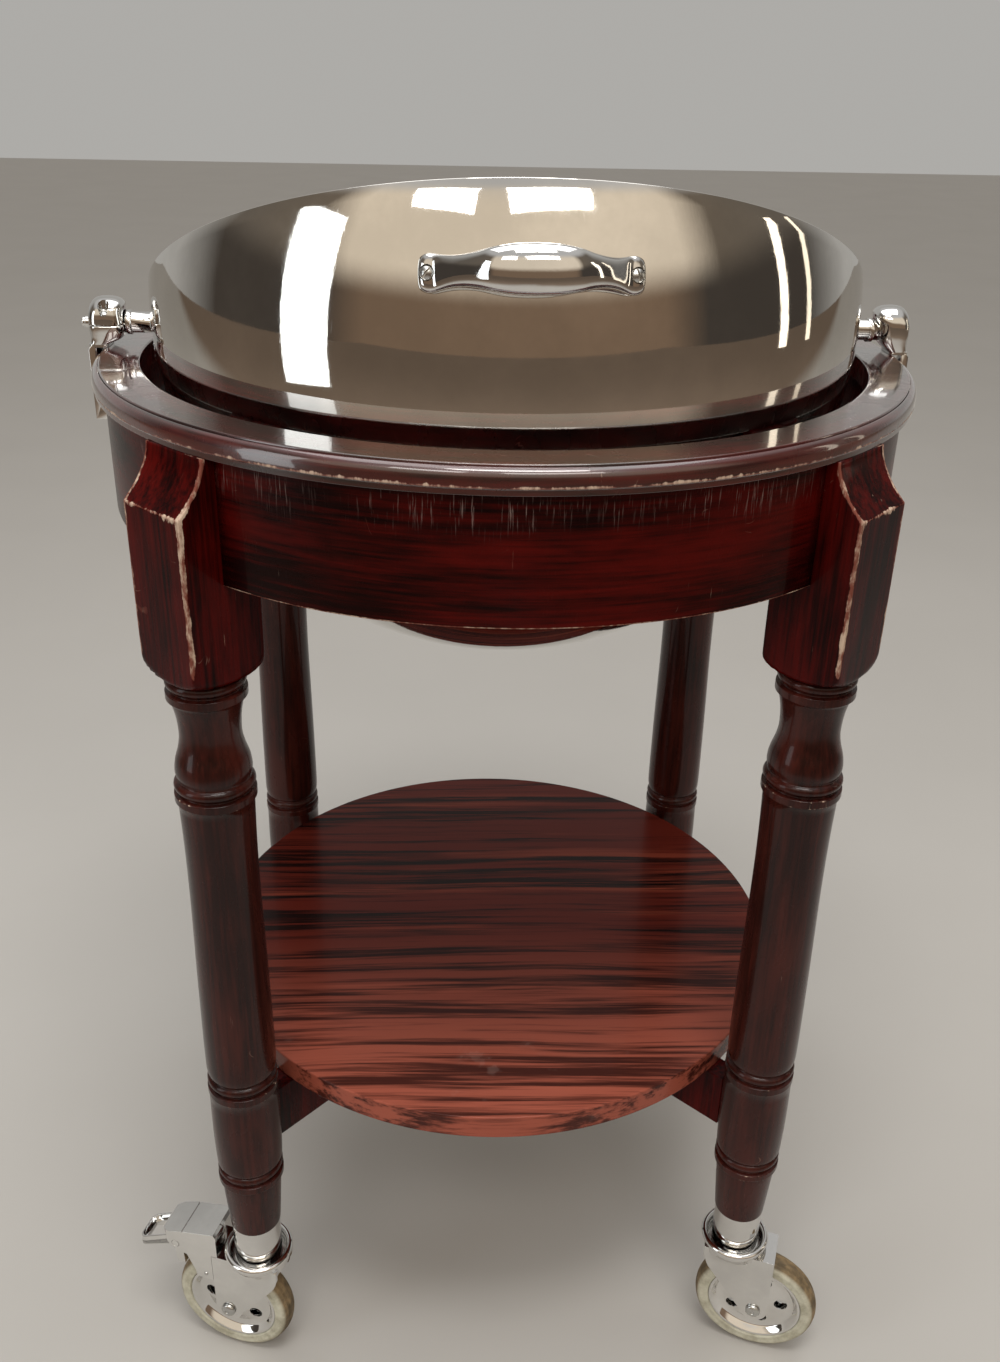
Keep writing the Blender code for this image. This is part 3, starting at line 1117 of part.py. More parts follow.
def make_casters():
    """Four swivel casters on the feet of the legs; the front left and back right ones have a foot brake."""
    socket = taken_mesh(make_socket_mesh())
    fork = taken_mesh(make_fork())
    axle = taken_mesh(make_axle())
    wheel = taken_mesh(make_wheel())
    tyre = taken_mesh(make_tyre())
    housing = taken_mesh(make_brake_housing())
    pedal = taken_mesh(make_brake_pedal())
    for corner, heading in CASTER_HEADINGS.items():
        shared("caster_socket_" + corner, socket, CHROME, location=leg_place(corner))
        swivel = empty("swivel_" + corner, leg_place(corner), rotation=(0, 0, math.radians(heading)))
        hub = empty("hub_" + corner, (CASTER_TRAIL, 0, WHEEL_RADIUS), swivel)
        shared("fork_" + corner, fork, CHROME, swivel)
        shared("axle_" + corner, axle, SATIN_STEEL, swivel, location=hub.location)
        shared("wheel_" + corner, wheel, CHROME, hub)
        shared("tyre_" + corner, tyre, GREY_RUBBER, hub)
        if corner in BRAKED_CASTERS:
            shared("brake_housing_" + corner, housing, CHROME, swivel)
            hinge = (BRAKE_HINGE_REACH, 0, BRAKE_HINGE_HEIGHT)
            shared("brake_pedal_" + corner, pedal, CHROME, swivel, location=hinge)


def main():
    clear_scene()
    make_frame()
    make_pivots()
    make_lid()
    make_inside()
    make_casters()


main()
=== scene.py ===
# %% [markdown]
# # A roll-top carving trolley
# This is a serving trolley for hot roasts: a wooden ring on four turned legs, a polished half-sphere lid that turns
# about two side pivots, a round shelf and four casters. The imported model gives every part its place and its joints.
# This lesson gives each part its finer shape and its finish, in the same metres and the same frame.

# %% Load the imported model
import math

import bmesh
import bpy
import numpy as np
from mathutils import Matrix, Vector


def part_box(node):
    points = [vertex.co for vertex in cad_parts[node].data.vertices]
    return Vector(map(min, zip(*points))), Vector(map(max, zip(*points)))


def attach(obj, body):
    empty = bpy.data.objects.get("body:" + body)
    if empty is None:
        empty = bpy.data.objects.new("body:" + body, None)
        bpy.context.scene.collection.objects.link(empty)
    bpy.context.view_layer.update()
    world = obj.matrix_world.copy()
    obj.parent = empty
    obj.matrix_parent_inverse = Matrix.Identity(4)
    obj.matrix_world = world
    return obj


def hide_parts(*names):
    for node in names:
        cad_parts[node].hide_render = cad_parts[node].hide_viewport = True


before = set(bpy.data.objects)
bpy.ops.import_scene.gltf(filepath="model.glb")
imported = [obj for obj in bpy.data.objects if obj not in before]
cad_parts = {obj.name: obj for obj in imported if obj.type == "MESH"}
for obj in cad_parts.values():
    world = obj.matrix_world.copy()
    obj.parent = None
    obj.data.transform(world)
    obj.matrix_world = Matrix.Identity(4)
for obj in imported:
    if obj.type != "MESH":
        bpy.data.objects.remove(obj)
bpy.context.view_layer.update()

# %% [markdown]
# ## Arithmetic on nodes
# A shader or a shape tree is a sum written with nodes. Wiring each Math node by hand hides the sum, so a small class
# stands for one output of a node and takes the usual signs. `1 - mask` then adds a Math node by itself, and one
# method makes every other node: its settings first, then the values or wires of its sockets.

# %% A wire
class Wire:
    """One output of a node. Sums on it become Math nodes."""

    def __init__(self, tree, socket):
        self.tree = tree
        self.socket = socket

    def sum(self, operation, *others):
        return self.tree.sum(operation, self, *others)

    def __add__(self, other):
        return self.sum("ADD", other)

    def __sub__(self, other):
        return self.sum("SUBTRACT", other)

    def __rsub__(self, other):
        return self.tree.sum("SUBTRACT", other, self)

    def __mul__(self, other):
        return self.sum("MULTIPLY", other)

    def __truediv__(self, other):
        return self.sum("DIVIDE", other)

    def __pow__(self, other):
        return self.sum("POWER", other)

    __radd__ = __add__
    __rmul__ = __mul__


print("a wire takes + - * / and **")

# %% A tree
class Tree:
    """A node tree being written."""

    def __init__(self, tree):
        self.tree = tree

    def node(self, kind, settings=None, inputs=None, out=0):
        made = self.tree.nodes.new(kind)
        for key, value in (settings or {}).items():
            if key == "stops":
                ramp = made.color_ramp
                ramp.elements[0].position, ramp.elements[0].color = value[0][0], (*value[0][1], 1)
                ramp.elements[1].position, ramp.elements[1].color = value[-1][0], (*value[-1][1], 1)
                for place, colour in value[1:-1]:
                    ramp.elements.new(place).color = (*colour, 1)
            else:
                setattr(made, key, value)
        for key, value in (inputs or {}).items():
            if isinstance(value, Wire):
                self.tree.links.new(value.socket, made.inputs[key])
            else:
                made.inputs[key].default_value = value
        return Wire(self, made.outputs[out])

    def sum(self, operation, *values):
        return self.node("ShaderNodeMath", {"operation": operation}, dict(enumerate(values)))

    def parts(self, vector):
        """The X, Y and Z of a vector."""
        split = self.node("ShaderNodeSeparateXYZ", {}, {0: vector}).socket.node
        return [Wire(self, output) for output in split.outputs]

    def rise(self, value, low, high):
        """A smooth step from 0 at low to 1 at high. Where low is the larger, it falls with the value."""
        settings = {"interpolation_type": "SMOOTHSTEP"}
        return self.node("ShaderNodeMapRange", settings, {"Value": value, "From Min": low, "From Max": high})

    def mix(self, share, first, second):
        first, second = (colour if isinstance(colour, Wire) else (*colour, 1) for colour in (first, second))
        return self.node("ShaderNodeMix", {"data_type": "RGBA"}, {0: share, 6: first, 7: second}, 2)


print("a tree makes nodes, sums, smooth steps and mixes")

# %% Trees that make shapes
def shape_tree(name, inputs):
    """An empty shape tree with named inputs, and a wire from each of them."""
    group = bpy.data.node_groups.new(name, "GeometryNodeTree")
    for title, kind in inputs.items():
        group.interface.new_socket(title, in_out="INPUT", socket_type="NodeSocket" + kind)
    group.interface.new_socket("Shape", in_out="OUTPUT", socket_type="NodeSocketGeometry")
    tree = Tree(group)
    given = group.nodes.new("NodeGroupInput")
    return tree, *(Wire(tree, given.outputs[index]) for index in range(len(inputs)))


def ended(tree, shape, finish):
    """The end of a shape tree: real faces in place of instances, then their material."""
    shape = tree.node("GeometryNodeRealizeInstances", {}, {"Geometry": shape})
    shape = tree.node("GeometryNodeSetMaterial", {}, {"Geometry": shape, "Material": finish})
    end = tree.tree.nodes.new("NodeGroupOutput")
    tree.tree.links.new(shape.socket, end.inputs[0])
    return tree.tree


print("shape trees have named inputs and one way to end")

# %% [markdown]
# ## A tree that turns wood and metal
# Most of this trolley is round: legs, ring, shelf, pan, lid, cups, wheels and tyres. On the real one they come off a
# lathe, a press or a spinning chuck, so one shape is enough to describe each: half of its outline. The tree takes that
# outline as a row of points (radius, 0, height), lays a grid whose rows are the points, bends each row round the
# axis and merges the seam and the poles. A screw modifier could do the same, but a tree has named inputs, and its
# start and sweep also make the curved apron rails.

# %% The turning tree
SEAM = 0.000004


def turning_tree():
    inputs = {"Outline": "Geometry", "Steps": "Int", "Start": "Float", "Sweep": "Float", "Finish": "Material"}
    tree, outline, steps, start, sweep, finish = shape_tree("turning", inputs)
    count = tree.node("GeometryNodeAttributeDomainSize", {"component": "MESH"}, {0: outline}, "Point Count")
    grid = tree.node("GeometryNodeMeshGrid", {}, {"Vertices X": count, "Vertices Y": steps + 1}, "Mesh")
    index = tree.node("GeometryNodeInputIndex")
    row = (index / (steps + 1)).sum("FLOOR")
    column = index - row * (steps + 1)
    position = tree.node("GeometryNodeInputPosition")
    settings = {"data_type": "FLOAT_VECTOR", "domain": "POINT"}
    spot = tree.node("GeometryNodeSampleIndex", settings, {"Geometry": outline, "Value": position, "Index": row})
    radius, height = tree.parts(spot)[::2]
    angle = start + sweep * column / steps
    inputs = {"X": radius * angle.sum("COSINE"), "Y": radius * angle.sum("SINE"), "Z": height}
    bent = tree.node("ShaderNodeCombineXYZ", {}, inputs)
    shape = tree.node("GeometryNodeSetPosition", {}, {"Geometry": grid, "Position": bent})
    shape = tree.node("GeometryNodeMergeByDistance", {}, {"Geometry": shape, "Distance": SEAM})
    shape = tree.node("GeometryNodeSetShadeSmooth", {}, {"Geometry": shape})
    return ended(tree, shape, finish)


TURNING = turning_tree()
print("turning tree:", len(TURNING.nodes), "nodes")

# %% [markdown]
# ## Helpers for shapes
# What a modifier makes isn't a mesh of its own until it is applied, so `plain` keeps it as one. `grown` does that with
# a shape tree. `outwards` makes sure that every face shows its outside, because a mirrored or swept mesh can come out
# with its inside showing.

# %% Plain meshes
def linked(name, mesh):
    thing = bpy.data.objects.new(name, mesh)
    bpy.context.scene.collection.objects.link(thing)
    return thing


def discard(*things):
    for thing in things:
        bpy.data.objects.remove(thing, do_unlink=True)


def plain(thing):
    """The thing with its modifiers applied."""
    graph = bpy.context.evaluated_depsgraph_get()
    mesh = bpy.data.meshes.new_from_object(thing.evaluated_get(graph))
    before = thing.data
    thing.modifiers.clear()
    thing.data = mesh
    bpy.data.meshes.remove(before)
    return thing


def outwards(mesh, merge=0.0):
    shape = bmesh.new()
    shape.from_mesh(mesh)
    if merge:
        bmesh.ops.remove_doubles(shape, verts=shape.verts, dist=merge)
    open_rim = [edge for edge in shape.edges if edge.is_boundary]
    if open_rim:
        bmesh.ops.holes_fill(shape, edges=open_rim, sides=0)
    bmesh.ops.recalc_face_normals(shape, faces=shape.faces)
    shape.to_mesh(mesh)
    shape.free()
    mesh.update()


def only_finish(mesh, finish):
    mesh.materials.clear()
    mesh.materials.append(finish)
    mesh.polygons.foreach_set("material_index", [0] * len(mesh.polygons))


def grown(name, mesh, tree, values):
    """What a shape tree makes of a mesh, as an ordinary mesh."""
    thing = linked(name, mesh)
    change = thing.modifiers.new("Shape", "NODES")
    change.node_group = tree
    for socket in tree.interface.items_tree:
        if socket.name in values:
            change[socket.identifier] = values[socket.name]
    return plain(thing)


print("shapes can be made plain")

# %% [markdown]
# ## Turned pieces and their outlines
# `turned` feeds half of an outline to the turning tree. `eased` rounds the corners of an outline first, because no
# real edge is perfectly sharp, and it is the rounded edges that catch the light. A Bevel modifier on the finished
# piece could do it too, but on an outline of a few points it is exact, and each corner can have its own radius.

# %% Turned pieces
SPIN = {
    "Z": Matrix(),
    "X": Matrix.Rotation(math.pi / 2, 4, "Y"),
    "Y": Matrix.Rotation(-math.pi / 2, 4, "X"),
}


def turned(name, outline, steps, finish, axis="Z", place=Matrix(), start=0.0, sweep=2 * math.pi):
    """A turned piece from half of its outline, a list of (radius, height) points."""
    mesh = bpy.data.meshes.new(name)
    points = [(radius, 0, height) for radius, height in outline]
    mesh.from_pydata(points, [(index, index + 1) for index in range(len(points) - 1)], [])
    values = {"Steps": steps, "Start": start, "Sweep": sweep, "Finish": finish}
    thing = grown(name, mesh, TURNING, values)
    outwards(thing.data)
    only_finish(thing.data, finish)
    thing.data.transform(place @ SPIN[axis])
    return thing
print("pieces can be turned about", ", ".join(SPIN))

# %% Rounded corners
STRAIGHT = math.radians(14)
SIDE_SHARE = 0.42
FLAT_SHARE = 1.18


def eased(outline, radius, closed=False, segments=3):
    """An outline with its corners rounded. A third number in a point is its own radius.

    A rounding takes up to SIDE_SHARE of the sides beside it. One more point on each side, FLAT_SHARE of its reach
    away, keeps the flat beyond it flat in its shading."""
    points = [Vector(point[:2]) for point in outline]
    radii = [point[2] if len(point) > 2 else radius for point in outline]
    count = len(points)
    result = []
    for index, point in enumerate(points):
        inner = closed or 0 < index < count - 1
        before = points[index - 1] - point
        after = points[(index + 1) % count] - point
        if not inner or not radii[index] or not before.length or not after.length:
            result.append(tuple(point))
            continue
        turn = math.pi - before.angle(after)
        if turn < STRAIGHT:
            result.append(tuple(point))
            continue
        reach = min(radii[index] * math.tan(turn / 2), before.length * SIDE_SHARE, after.length * SIDE_SHARE)
        into, out = before.normalized(), after.normalized()
        result.append(tuple(point + into * reach * FLAT_SHARE))
        for step in range(segments + 1):
            share = step / segments
            first = point + into * reach * (1 - share)
            second = point + out * reach * share
            result.append(tuple(first * (1 - share) + second * share))
        result.append(tuple(point + out * reach * FLAT_SHARE))
    return result + [result[0]] if closed else result


print("corners turning less than", round(math.degrees(STRAIGHT)), "degrees stay as they are")

# %% Smooth lines
def arc(centre, radii, start, end, count):
    """Points of an arc of a circle or an ellipse, angles in degrees."""
    wide, tall = radii if isinstance(radii, tuple) else (radii, radii)
    points = []
    for step in range(count + 1):
        angle = math.radians(start + (end - start) * step / count)
        points.append((centre[0] + wide * math.cos(angle), centre[1] + tall * math.sin(angle)))
    return points


def unrounded(points):
    """Points of a curve, marked so that `eased` leaves them as they are."""
    return [(a, b, 0.0) for a, b in points]


def flowing(keys, steps):
    """A smooth line through key points, by Catmull-Rom."""
    keys = [Vector(key) for key in keys]
    padded = [keys[0] * 2 - keys[1]] + keys + [keys[-1] * 2 - keys[-2]]
    line = []
    for index in range(1, len(padded) - 2):
        a, b, c, d = padded[index - 1:index + 3]
        for step in range(steps):
            t = step / steps
            spot = 2 * b + (c - a) * t + (2 * a - 5 * b + 4 * c - d) * t ** 2 + (3 * b - a - 3 * c + d) * t ** 3
            line.append(tuple(spot / 2))
    return line + [tuple(keys[-1])]


print("a quarter circle of 6 steps has", len(arc((0, 0), 1, 0, 90, 6)), "points")

# %% [markdown]
# ## Plates, skins and cuts
# `plate` is the other way to start a shape: an outline cut from sheet or block. `lofted` draws a skin over rows of
# points, for castings that swell and narrow. Real holes and slots are drilled or milled after that, and an exact
# Boolean does the same here. `bevelled` and `crisp` finish the edges of what was cut.

# %% Plates and skins
def skinned(name, rows):
    """A closed skin over rows of points, all with the same count."""
    steps, last = len(rows[0]), len(rows) - 1
    faces = [tuple(range(steps)), tuple(range(last * steps, (last + 1) * steps))]
    for level in range(last):
        for step in range(steps):
            first, second = level * steps + step, level * steps + (step + 1) % steps
            faces.append((first, second, second + steps, first + steps))
    mesh = bpy.data.meshes.new(name)
    mesh.from_pydata([point for row in rows for point in row], [], faces)
    outwards(mesh)
    return mesh


def plate(name, outline, low, high, axis="Z", finish=None):
    """An outline with a thickness: (x, y) from low to high in Z, or (x, z) from low to high in Y."""
    rows = [[(a, depth, b) if axis == "Y" else (a, b, depth) for a, b in outline] for depth in (low, high)]
    mesh = skinned(name, rows)
    if finish:
        mesh.materials.append(finish)
    return linked(name, mesh)


def block(name, low, high):
    corners = [(low[0], low[1]), (high[0], low[1]), (high[0], high[1]), (low[0], high[1])]
    return plate(name, corners, low[2], high[2])


def lofted(name, rows, finish):
    """A smooth skin over rows of points."""
    mesh = skinned(name, rows)
    mesh.shade_smooth()
    mesh.materials.append(finish)
    return linked(name, mesh)


def rounded_row(half_a, half_b, power, steps):
    """A ring of points between an ellipse (power 2) and a rectangle (a high power)."""
    row = []
    for step in range(steps):
        angle = 2 * math.pi * (step + 0.5) / steps
        cos, sin = math.cos(angle), math.sin(angle)
        size = (abs(cos) ** power + abs(sin) ** power) ** (-1 / power)
        row.append((half_a * size * cos, half_b * size * sin))
    return row

print("plates and skins can be made")

# %% Cuts and edges
SAME_POINT = 0.00001


def carved(thing, operation, tool):
    """One exact Boolean with a tool, applied at once."""
    change = thing.modifiers.new("Cut", "BOOLEAN")
    change.operation = operation
    change.solver = "EXACT"
    change.object = tool
    plain(thing)
    discard(tool)
    return thing


def cut(thing, *tools):
    for tool in tools:
        carved(thing, "DIFFERENCE", tool)
    return thing


def bevelled(thing, width, segments=3, angle=32):
    """Rounded edges with flat faces that stay flat in their shading."""
    outwards(thing.data, SAME_POINT)
    thing.data.shade_smooth()
    change = thing.modifiers.new("Bevel", "BEVEL")
    change.width = width
    change.segments = segments
    change.limit_method = "ANGLE"
    change.angle_limit = math.radians(angle)
    change.harden_normals = True
    change.miter_outer = "MITER_ARC"
    return plain(thing)


def crisp(thing, angle=40):
    """Smooth faces that keep their sharp edges."""
    outwards(thing.data, SAME_POINT)
    thing.data.shade_smooth()
    thing.data.set_sharp_from_angle(angle=math.radians(angle))
    return thing


print("edges sharper than 32 degrees are bevelled")

# %% Joins
def joined(name, things):
    """One object from several; each keeps its finish."""
    finishes = []
    shape = bmesh.new()
    for thing in things:
        finish = thing.data.materials[0]
        if finish not in finishes:
            finishes.append(finish)
        for face in thing.data.polygons:
            face.material_index = finishes.index(finish)
        shape.from_mesh(thing.data)
    mesh = bpy.data.meshes.new(name)
    shape.to_mesh(mesh)
    shape.free()
    for finish in finishes:
        mesh.materials.append(finish)
    discard(*things)
    return linked(name, mesh)


print("shapes can be joined")

# %% [markdown]
# ## A tree that sets out repeated things
# Screws and round holes come in sets. The real maker marks the spots with a jig and drills or drives the same thing
# at each. The tree does that: the places are loose points that carry the direction they face and a turn about it,
# and the pattern is made once. An array modifier would only do rows, and copying by hand loses the single pattern.

# %% The setting-out tree
def setting_out_tree():
    inputs = {"Places": "Geometry", "Pattern": "Object", "Finish": "Material"}
    tree, places, pattern, finish = shape_tree("setting_out", inputs)
    shape = tree.node("GeometryNodeObjectInfo", {}, {"Object": pattern}, "Geometry")
    facing = tree.node("GeometryNodeInputNamedAttribute", {"data_type": "FLOAT_VECTOR"}, {"Name": "facing"})
    turn = tree.node("GeometryNodeInputNamedAttribute", {"data_type": "FLOAT"}, {"Name": "turn"})
    aimed = tree.node("FunctionNodeAlignRotationToVector", {"axis": "Z"}, {"Vector": facing})
    spun = tree.node("FunctionNodeAxisAngleToRotation", {}, {"Axis": (0, 0, 1), "Angle": turn})
    aimed = tree.node("FunctionNodeRotateRotation", {"rotation_space": "LOCAL"}, {0: aimed, 1: spun})
    inputs = {"Points": places, "Instance": shape, "Rotation": aimed}
    made = tree.node("GeometryNodeInstanceOnPoints", {}, inputs)
    return ended(tree, made, finish)


SETTING_OUT = setting_out_tree()


def marked(mesh, name, values):
    """A number for each point, kept under a name that a material can read."""
    mesh.attributes.new(name, "FLOAT", "POINT").data.foreach_set("value", values)


def set_out(name, pattern, finish, places):
    """The pattern at each place: (point, direction that its Z faces, turn in radians)."""
    points, facings, turns = zip(*places)
    mesh = bpy.data.meshes.new(name)
    mesh.from_pydata([tuple(point) for point in points], [], [])
    facing = [value for way in facings for value in way]
    mesh.attributes.new("facing", "FLOAT_VECTOR", "POINT").data.foreach_set("vector", facing)
    marked(mesh, "turn", turns)
    thing = grown(name, mesh, SETTING_OUT, {"Pattern": pattern, "Finish": finish})
    only_finish(thing.data, finish)
    return thing


print("setting-out tree:", len(SETTING_OUT.nodes), "nodes")

# %% [markdown]
# ## Wear
# Lacquer rubs off where a surface turns sharply outwards. A mesh knows how sharply it turns at each point, so the
# wear is measured once, as curvature, and kept as a point attribute that the wood's material reads. Painting it by
# hand would give the same look, but it would have to be painted again after each change of shape.

# %% Measure the wear
WEAR_STARTS = 130.0
WEAR_FULL = 420.0
SHORTEST_EDGE = 0.00005


def points_of(mesh):
    places = np.empty(len(mesh.vertices) * 3)
    mesh.vertices.foreach_get("co", places)
    return places.reshape(-1, 3)


def mark_wear(mesh):
    """Wear from curvature: how far the normals of a point and its neighbours open, by the distance."""
    count = len(mesh.vertices)
    places, normals = points_of(mesh), np.empty(count * 3)
    mesh.vertices.foreach_get("normal", normals)
    normals = normals.reshape(-1, 3)
    ends = np.empty(len(mesh.edges) * 2, int)
    mesh.edges.foreach_get("vertices", ends)
    first, second = ends.reshape(-1, 2).T
    step = places[first] - places[second]
    length = np.maximum(np.linalg.norm(step, axis=1), SHORTEST_EDGE)
    turn, edges = np.zeros(count), np.zeros(count)
    for here, way in ((first, 1), (second, -1)):
        np.add.at(turn, here, 2 * way * (normals[here] * step).sum(1) / length ** 2)
        np.add.at(edges, here, 1)
    bend = turn / np.maximum(edges, 1)
    wear = np.clip((bend - WEAR_STARTS) / (WEAR_FULL - WEAR_STARTS), 0, 1)
    marked(mesh, "wear", wear)


def worn_near(mesh, distance, reach):
    """Wear along chosen edges instead: distance is each point's distance from them."""
    marked(mesh, "wear", np.clip(1 - distance / reach, 0, 1))


def shown(thing, body, slot, *nodes):
    """Hands a finished piece over: its wear, its body and the parts that it stands for. The slot is not used."""
    if "wear" not in thing.data.attributes:
        mark_wear(thing.data)
    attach(thing, body)
    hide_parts(*nodes)
    return thing


def placed(pattern, name, place):
    """A copy of a pattern, moved in its mesh."""
    mesh = pattern.data.copy()
    mesh.transform(place)
    return linked(name, mesh)


print("wear runs from", WEAR_STARTS, "to", WEAR_FULL, "per metre of curvature")

# %% [markdown]
# ## Finishes
# Every finish is made with noise in the object's own coordinates, so that the pattern has a real size and stays on a
# part that moves. An image wrapped round each piece would need seams and a file. Each finish is one Principled
# shader, and only what it shows of its colour, its roughness, its coat and its bumps changes over the surface.

# %% A finish
class Finish(Tree):
    """A material with one Principled shader."""

    def __init__(self, name, constants):
        self.material = bpy.data.materials.new(name)
        self.material.use_nodes = True
        super().__init__(self.material.node_tree)
        self.shader = self.tree.nodes["Principled BSDF"]
        for key, value in constants.items():
            self.shader.inputs[key].default_value = value
        self.point = self.node("ShaderNodeTexCoord", out="Object")

    def noise(self, scale, stretch=(1, 1, 1), detail=4.0, rough=0.5, point=None, distortion=0.0):
        size = tuple(scale * share for share in stretch)
        moved = self.node("ShaderNodeMapping", {}, {"Vector": point or self.point, "Scale": size})
        inputs = {"Vector": moved, "Scale": 1.0, "Detail": detail, "Roughness": rough, "Distortion": distortion}
        return self.node("ShaderNodeTexNoise", {}, inputs)

    def feed(self, socket, value):
        self.tree.links.new(value.socket, self.shader.inputs[socket])

    def bump(self, height, strength, distance):
        inputs = {"Height": height, "Strength": strength, "Distance": distance}
        self.feed("Normal", self.node("ShaderNodeBump", {}, inputs))

    def attribute(self, name):
        return self.node("ShaderNodeAttribute", {"attribute_name": name}, {}, "Fac")


print("finishes can be written")

# %% [markdown]
# ## Lacquered mahogany
# The wood is stained almost black-red under a clear lacquer, with a faint grain that runs up the legs and round the
# ring. Years of use have rubbed the corners to bare timber, chipped and scratched the faces, and crazed the lacquer
# in fine upright marks where the apron meets the ring. The rub follows the wear that was measured on the mesh.

# %% Lacquered mahogany
BARE_TIMBER = (0.58, 0.44, 0.34)
OLD_TIMBER = (0.19, 0.060, 0.042)
CRAZED_LACQUER = (0.56, 0.42, 0.39)
CRAZING = (0.935, 0.968)
UNDER_RING = (0.9731, 0.9728)
STAINS = {
    "red": ((0.0065, 0.0006, 0.0006), (0.0760, 0.0028, 0.0020)),
    "brown": ((0.0150, 0.0036, 0.0028), (0.0560, 0.0105, 0.0070)),
}


def mahogany(name, stain, bent=False, gloss=0.12, edge=0.9):
    """Stained wood under lacquer. The grain runs up the legs, or round the ring where it is bent."""
    f = Finish(name, {"Coat Roughness": 0.05, "Coat IOR": 1.45, "Specular IOR Level": gloss})
    dark, red = STAINS[stain]
    x, y, z = f.parts(f.point)
    point, along = f.point, x + y
    if bent:
        along = y.sum("ARCTAN2", x) * 0.35
        radius = (x * x + y * y).sum("SQRT")
        point = f.node("ShaderNodeCombineXYZ", {}, {0: z, 1: radius, 2: along})
    grain = f.noise(260, (1, 1, 0.035), 5.0, 0.6, point)
    broad = f.noise(24, (1, 1, 0.25), 4.0, 0.6, point)
    figure = f.rise(grain * 0.40 + broad * 0.60, 0.38, 0.64)
    stained = f.mix(figure, dark, red)
    patchy = f.noise(240, (1, 1, 0.35), 5.0, 0.65)
    ragged = f.noise(48, (1, 1, 0.5), 3.0, 0.6)
    rubbed = f.rise(f.attribute("wear") * edge + patchy * 0.7 + ragged * 0.8, 1.23, 1.34)
    chipped = f.rise(f.noise(420, (1, 1, 0.05), 3.0, 0.55), 0.70, 0.75)
    chipped = chipped * f.rise(f.noise(26, (1, 1, 1), 2.0, 0.5), 0.55, 0.66)
    drift = f.noise(9, (1, 1, 1), 3.0, 0.5, distortion=1.5)
    hair = 1 - f.rise((drift - 0.5).sum("ABSOLUTE"), 0.0006, 0.0022)
    scratched = hair * f.rise(f.noise(31, (1, 1, 1), 2.0, 0.5), 0.64, 0.68)
    bare = rubbed.sum("MAXIMUM", chipped * 0.7).sum("MAXIMUM", scratched * 0.35)
    timber = f.mix(f.rise(ragged * 0.5 + patchy * 0.5, 0.47, 0.62), OLD_TIMBER, BARE_TIMBER)
    colour = f.mix(bare, stained, timber)
    if bent:
        spot = f.node("ShaderNodeCombineXYZ", {}, {0: along * 620, 1: z * 34, 2: 0.0})
        streak = f.rise(f.noise(1, (1, 1, 1), 3.0, 0.6, spot), 0.55, 0.74)
        band = f.rise(z, *CRAZING) * f.rise(z, *UNDER_RING)
        where = f.rise(f.noise(14, (1, 1, 0.6), 3.0, 0.6), 0.38, 0.62)
        colour = f.mix(streak * band * where * 0.52, colour, CRAZED_LACQUER)
    f.feed("Base Color", colour)
    f.feed("Roughness", 0.20 + f.noise(35, (1, 1, 0.4), 4.0, 0.6) * 0.14 + bare * 0.4)
    f.feed("Coat Weight", gloss * 2.2 - bare * gloss * 2)
    f.bump(grain * 0.5 - bare * 0.7 + broad * 0.6, 0.12, 0.0006)
    return f.material


BLOCK_WOOD = mahogany("mahogany_block", "red", gloss=0.045)
TURNED_WOOD = mahogany("mahogany_turned", "brown", gloss=0.13)
APRON_WOOD = mahogany("mahogany_apron", "red", True, 0.07, 0.72)
RING_WOOD = mahogany("mahogany_ring", "red", True, 0.75)
print("four mahogany finishes, grain up and grain round")

# %% [markdown]
# ## Rosewood laminate
# The shelf's top is a printed sheet: red-brown with dark veins along one direction, under a hard gloss. Noise that is
# stretched a lot along X gives the veins, and a slow wave added to Y bends them, as growth does in a
# trunk. A Wave Texture would give even stripes. Towards the front the print is lightened, a painted sheen.

# %% Rosewood laminate
VEIN_DARK = (0.0105, 0.0028, 0.0022)
VEIN_RED = (0.100, 0.0135, 0.0080)
VEIN_LIGHT = (0.205, 0.040, 0.022)
# the next two colours are the painted sheen at the shelf's front
SHEEN_PAINTED_DARK = (0.080, 0.020, 0.014)
SHEEN_PAINTED_LIGHT = (0.46, 0.125, 0.080)
SPILL = (0.50, 0.36, 0.32)


def rosewood():
    f = Finish("rosewood_top", {"Coat Weight": 0.05, "Coat Roughness": 0.04, "Specular IOR Level": 0.12})
    wave = f.noise(3.2, (0.6, 1.6, 1), 2.0, 0.4)
    x, y, z = f.parts(f.point)
    point = f.node("ShaderNodeCombineXYZ", {}, {0: x, 1: y + wave * 0.05, 2: z})
    veins = f.noise(75, (0.035, 1, 1), 6.0, 0.6, point)
    fine = f.noise(330, (0.02, 1, 1), 3.0, 0.6, point)
    lines = f.rise(veins * 0.75 + fine * 0.25, 0.40, 0.55)
    light = f.rise(f.noise(36, (0.05, 1, 1), 4.0, 0.6, point), 0.52, 0.70)
    colour = f.mix(lines, VEIN_DARK, f.mix(light, VEIN_RED, VEIN_LIGHT))
    # painted sheen: towards the front the print is lightened
    painted_front_sheen = f.rise(y + wave * 0.08, 0.04, -0.26)
    colour = f.mix(painted_front_sheen * 0.75, colour, f.mix(lines, SHEEN_PAINTED_DARK, SHEEN_PAINTED_LIGHT))
    stain = f.rise(f.noise(26, (1, 1, 1), 3.0, 0.6), 0.64, 0.76) * f.rise(y, -0.16, -0.25) * 0.45
    f.feed("Base Color", f.mix(stain * 0.25, colour, SPILL))
    f.feed("Roughness", 0.17 + f.noise(12, (1, 1, 1), 4.0, 0.6) * 0.12 + stain * 0.2)
    f.bump(fine, 0.04, 0.0003)
    return f.material


ROSEWOOD = rosewood()
print("rosewood laminate with veins along the shelf's X")

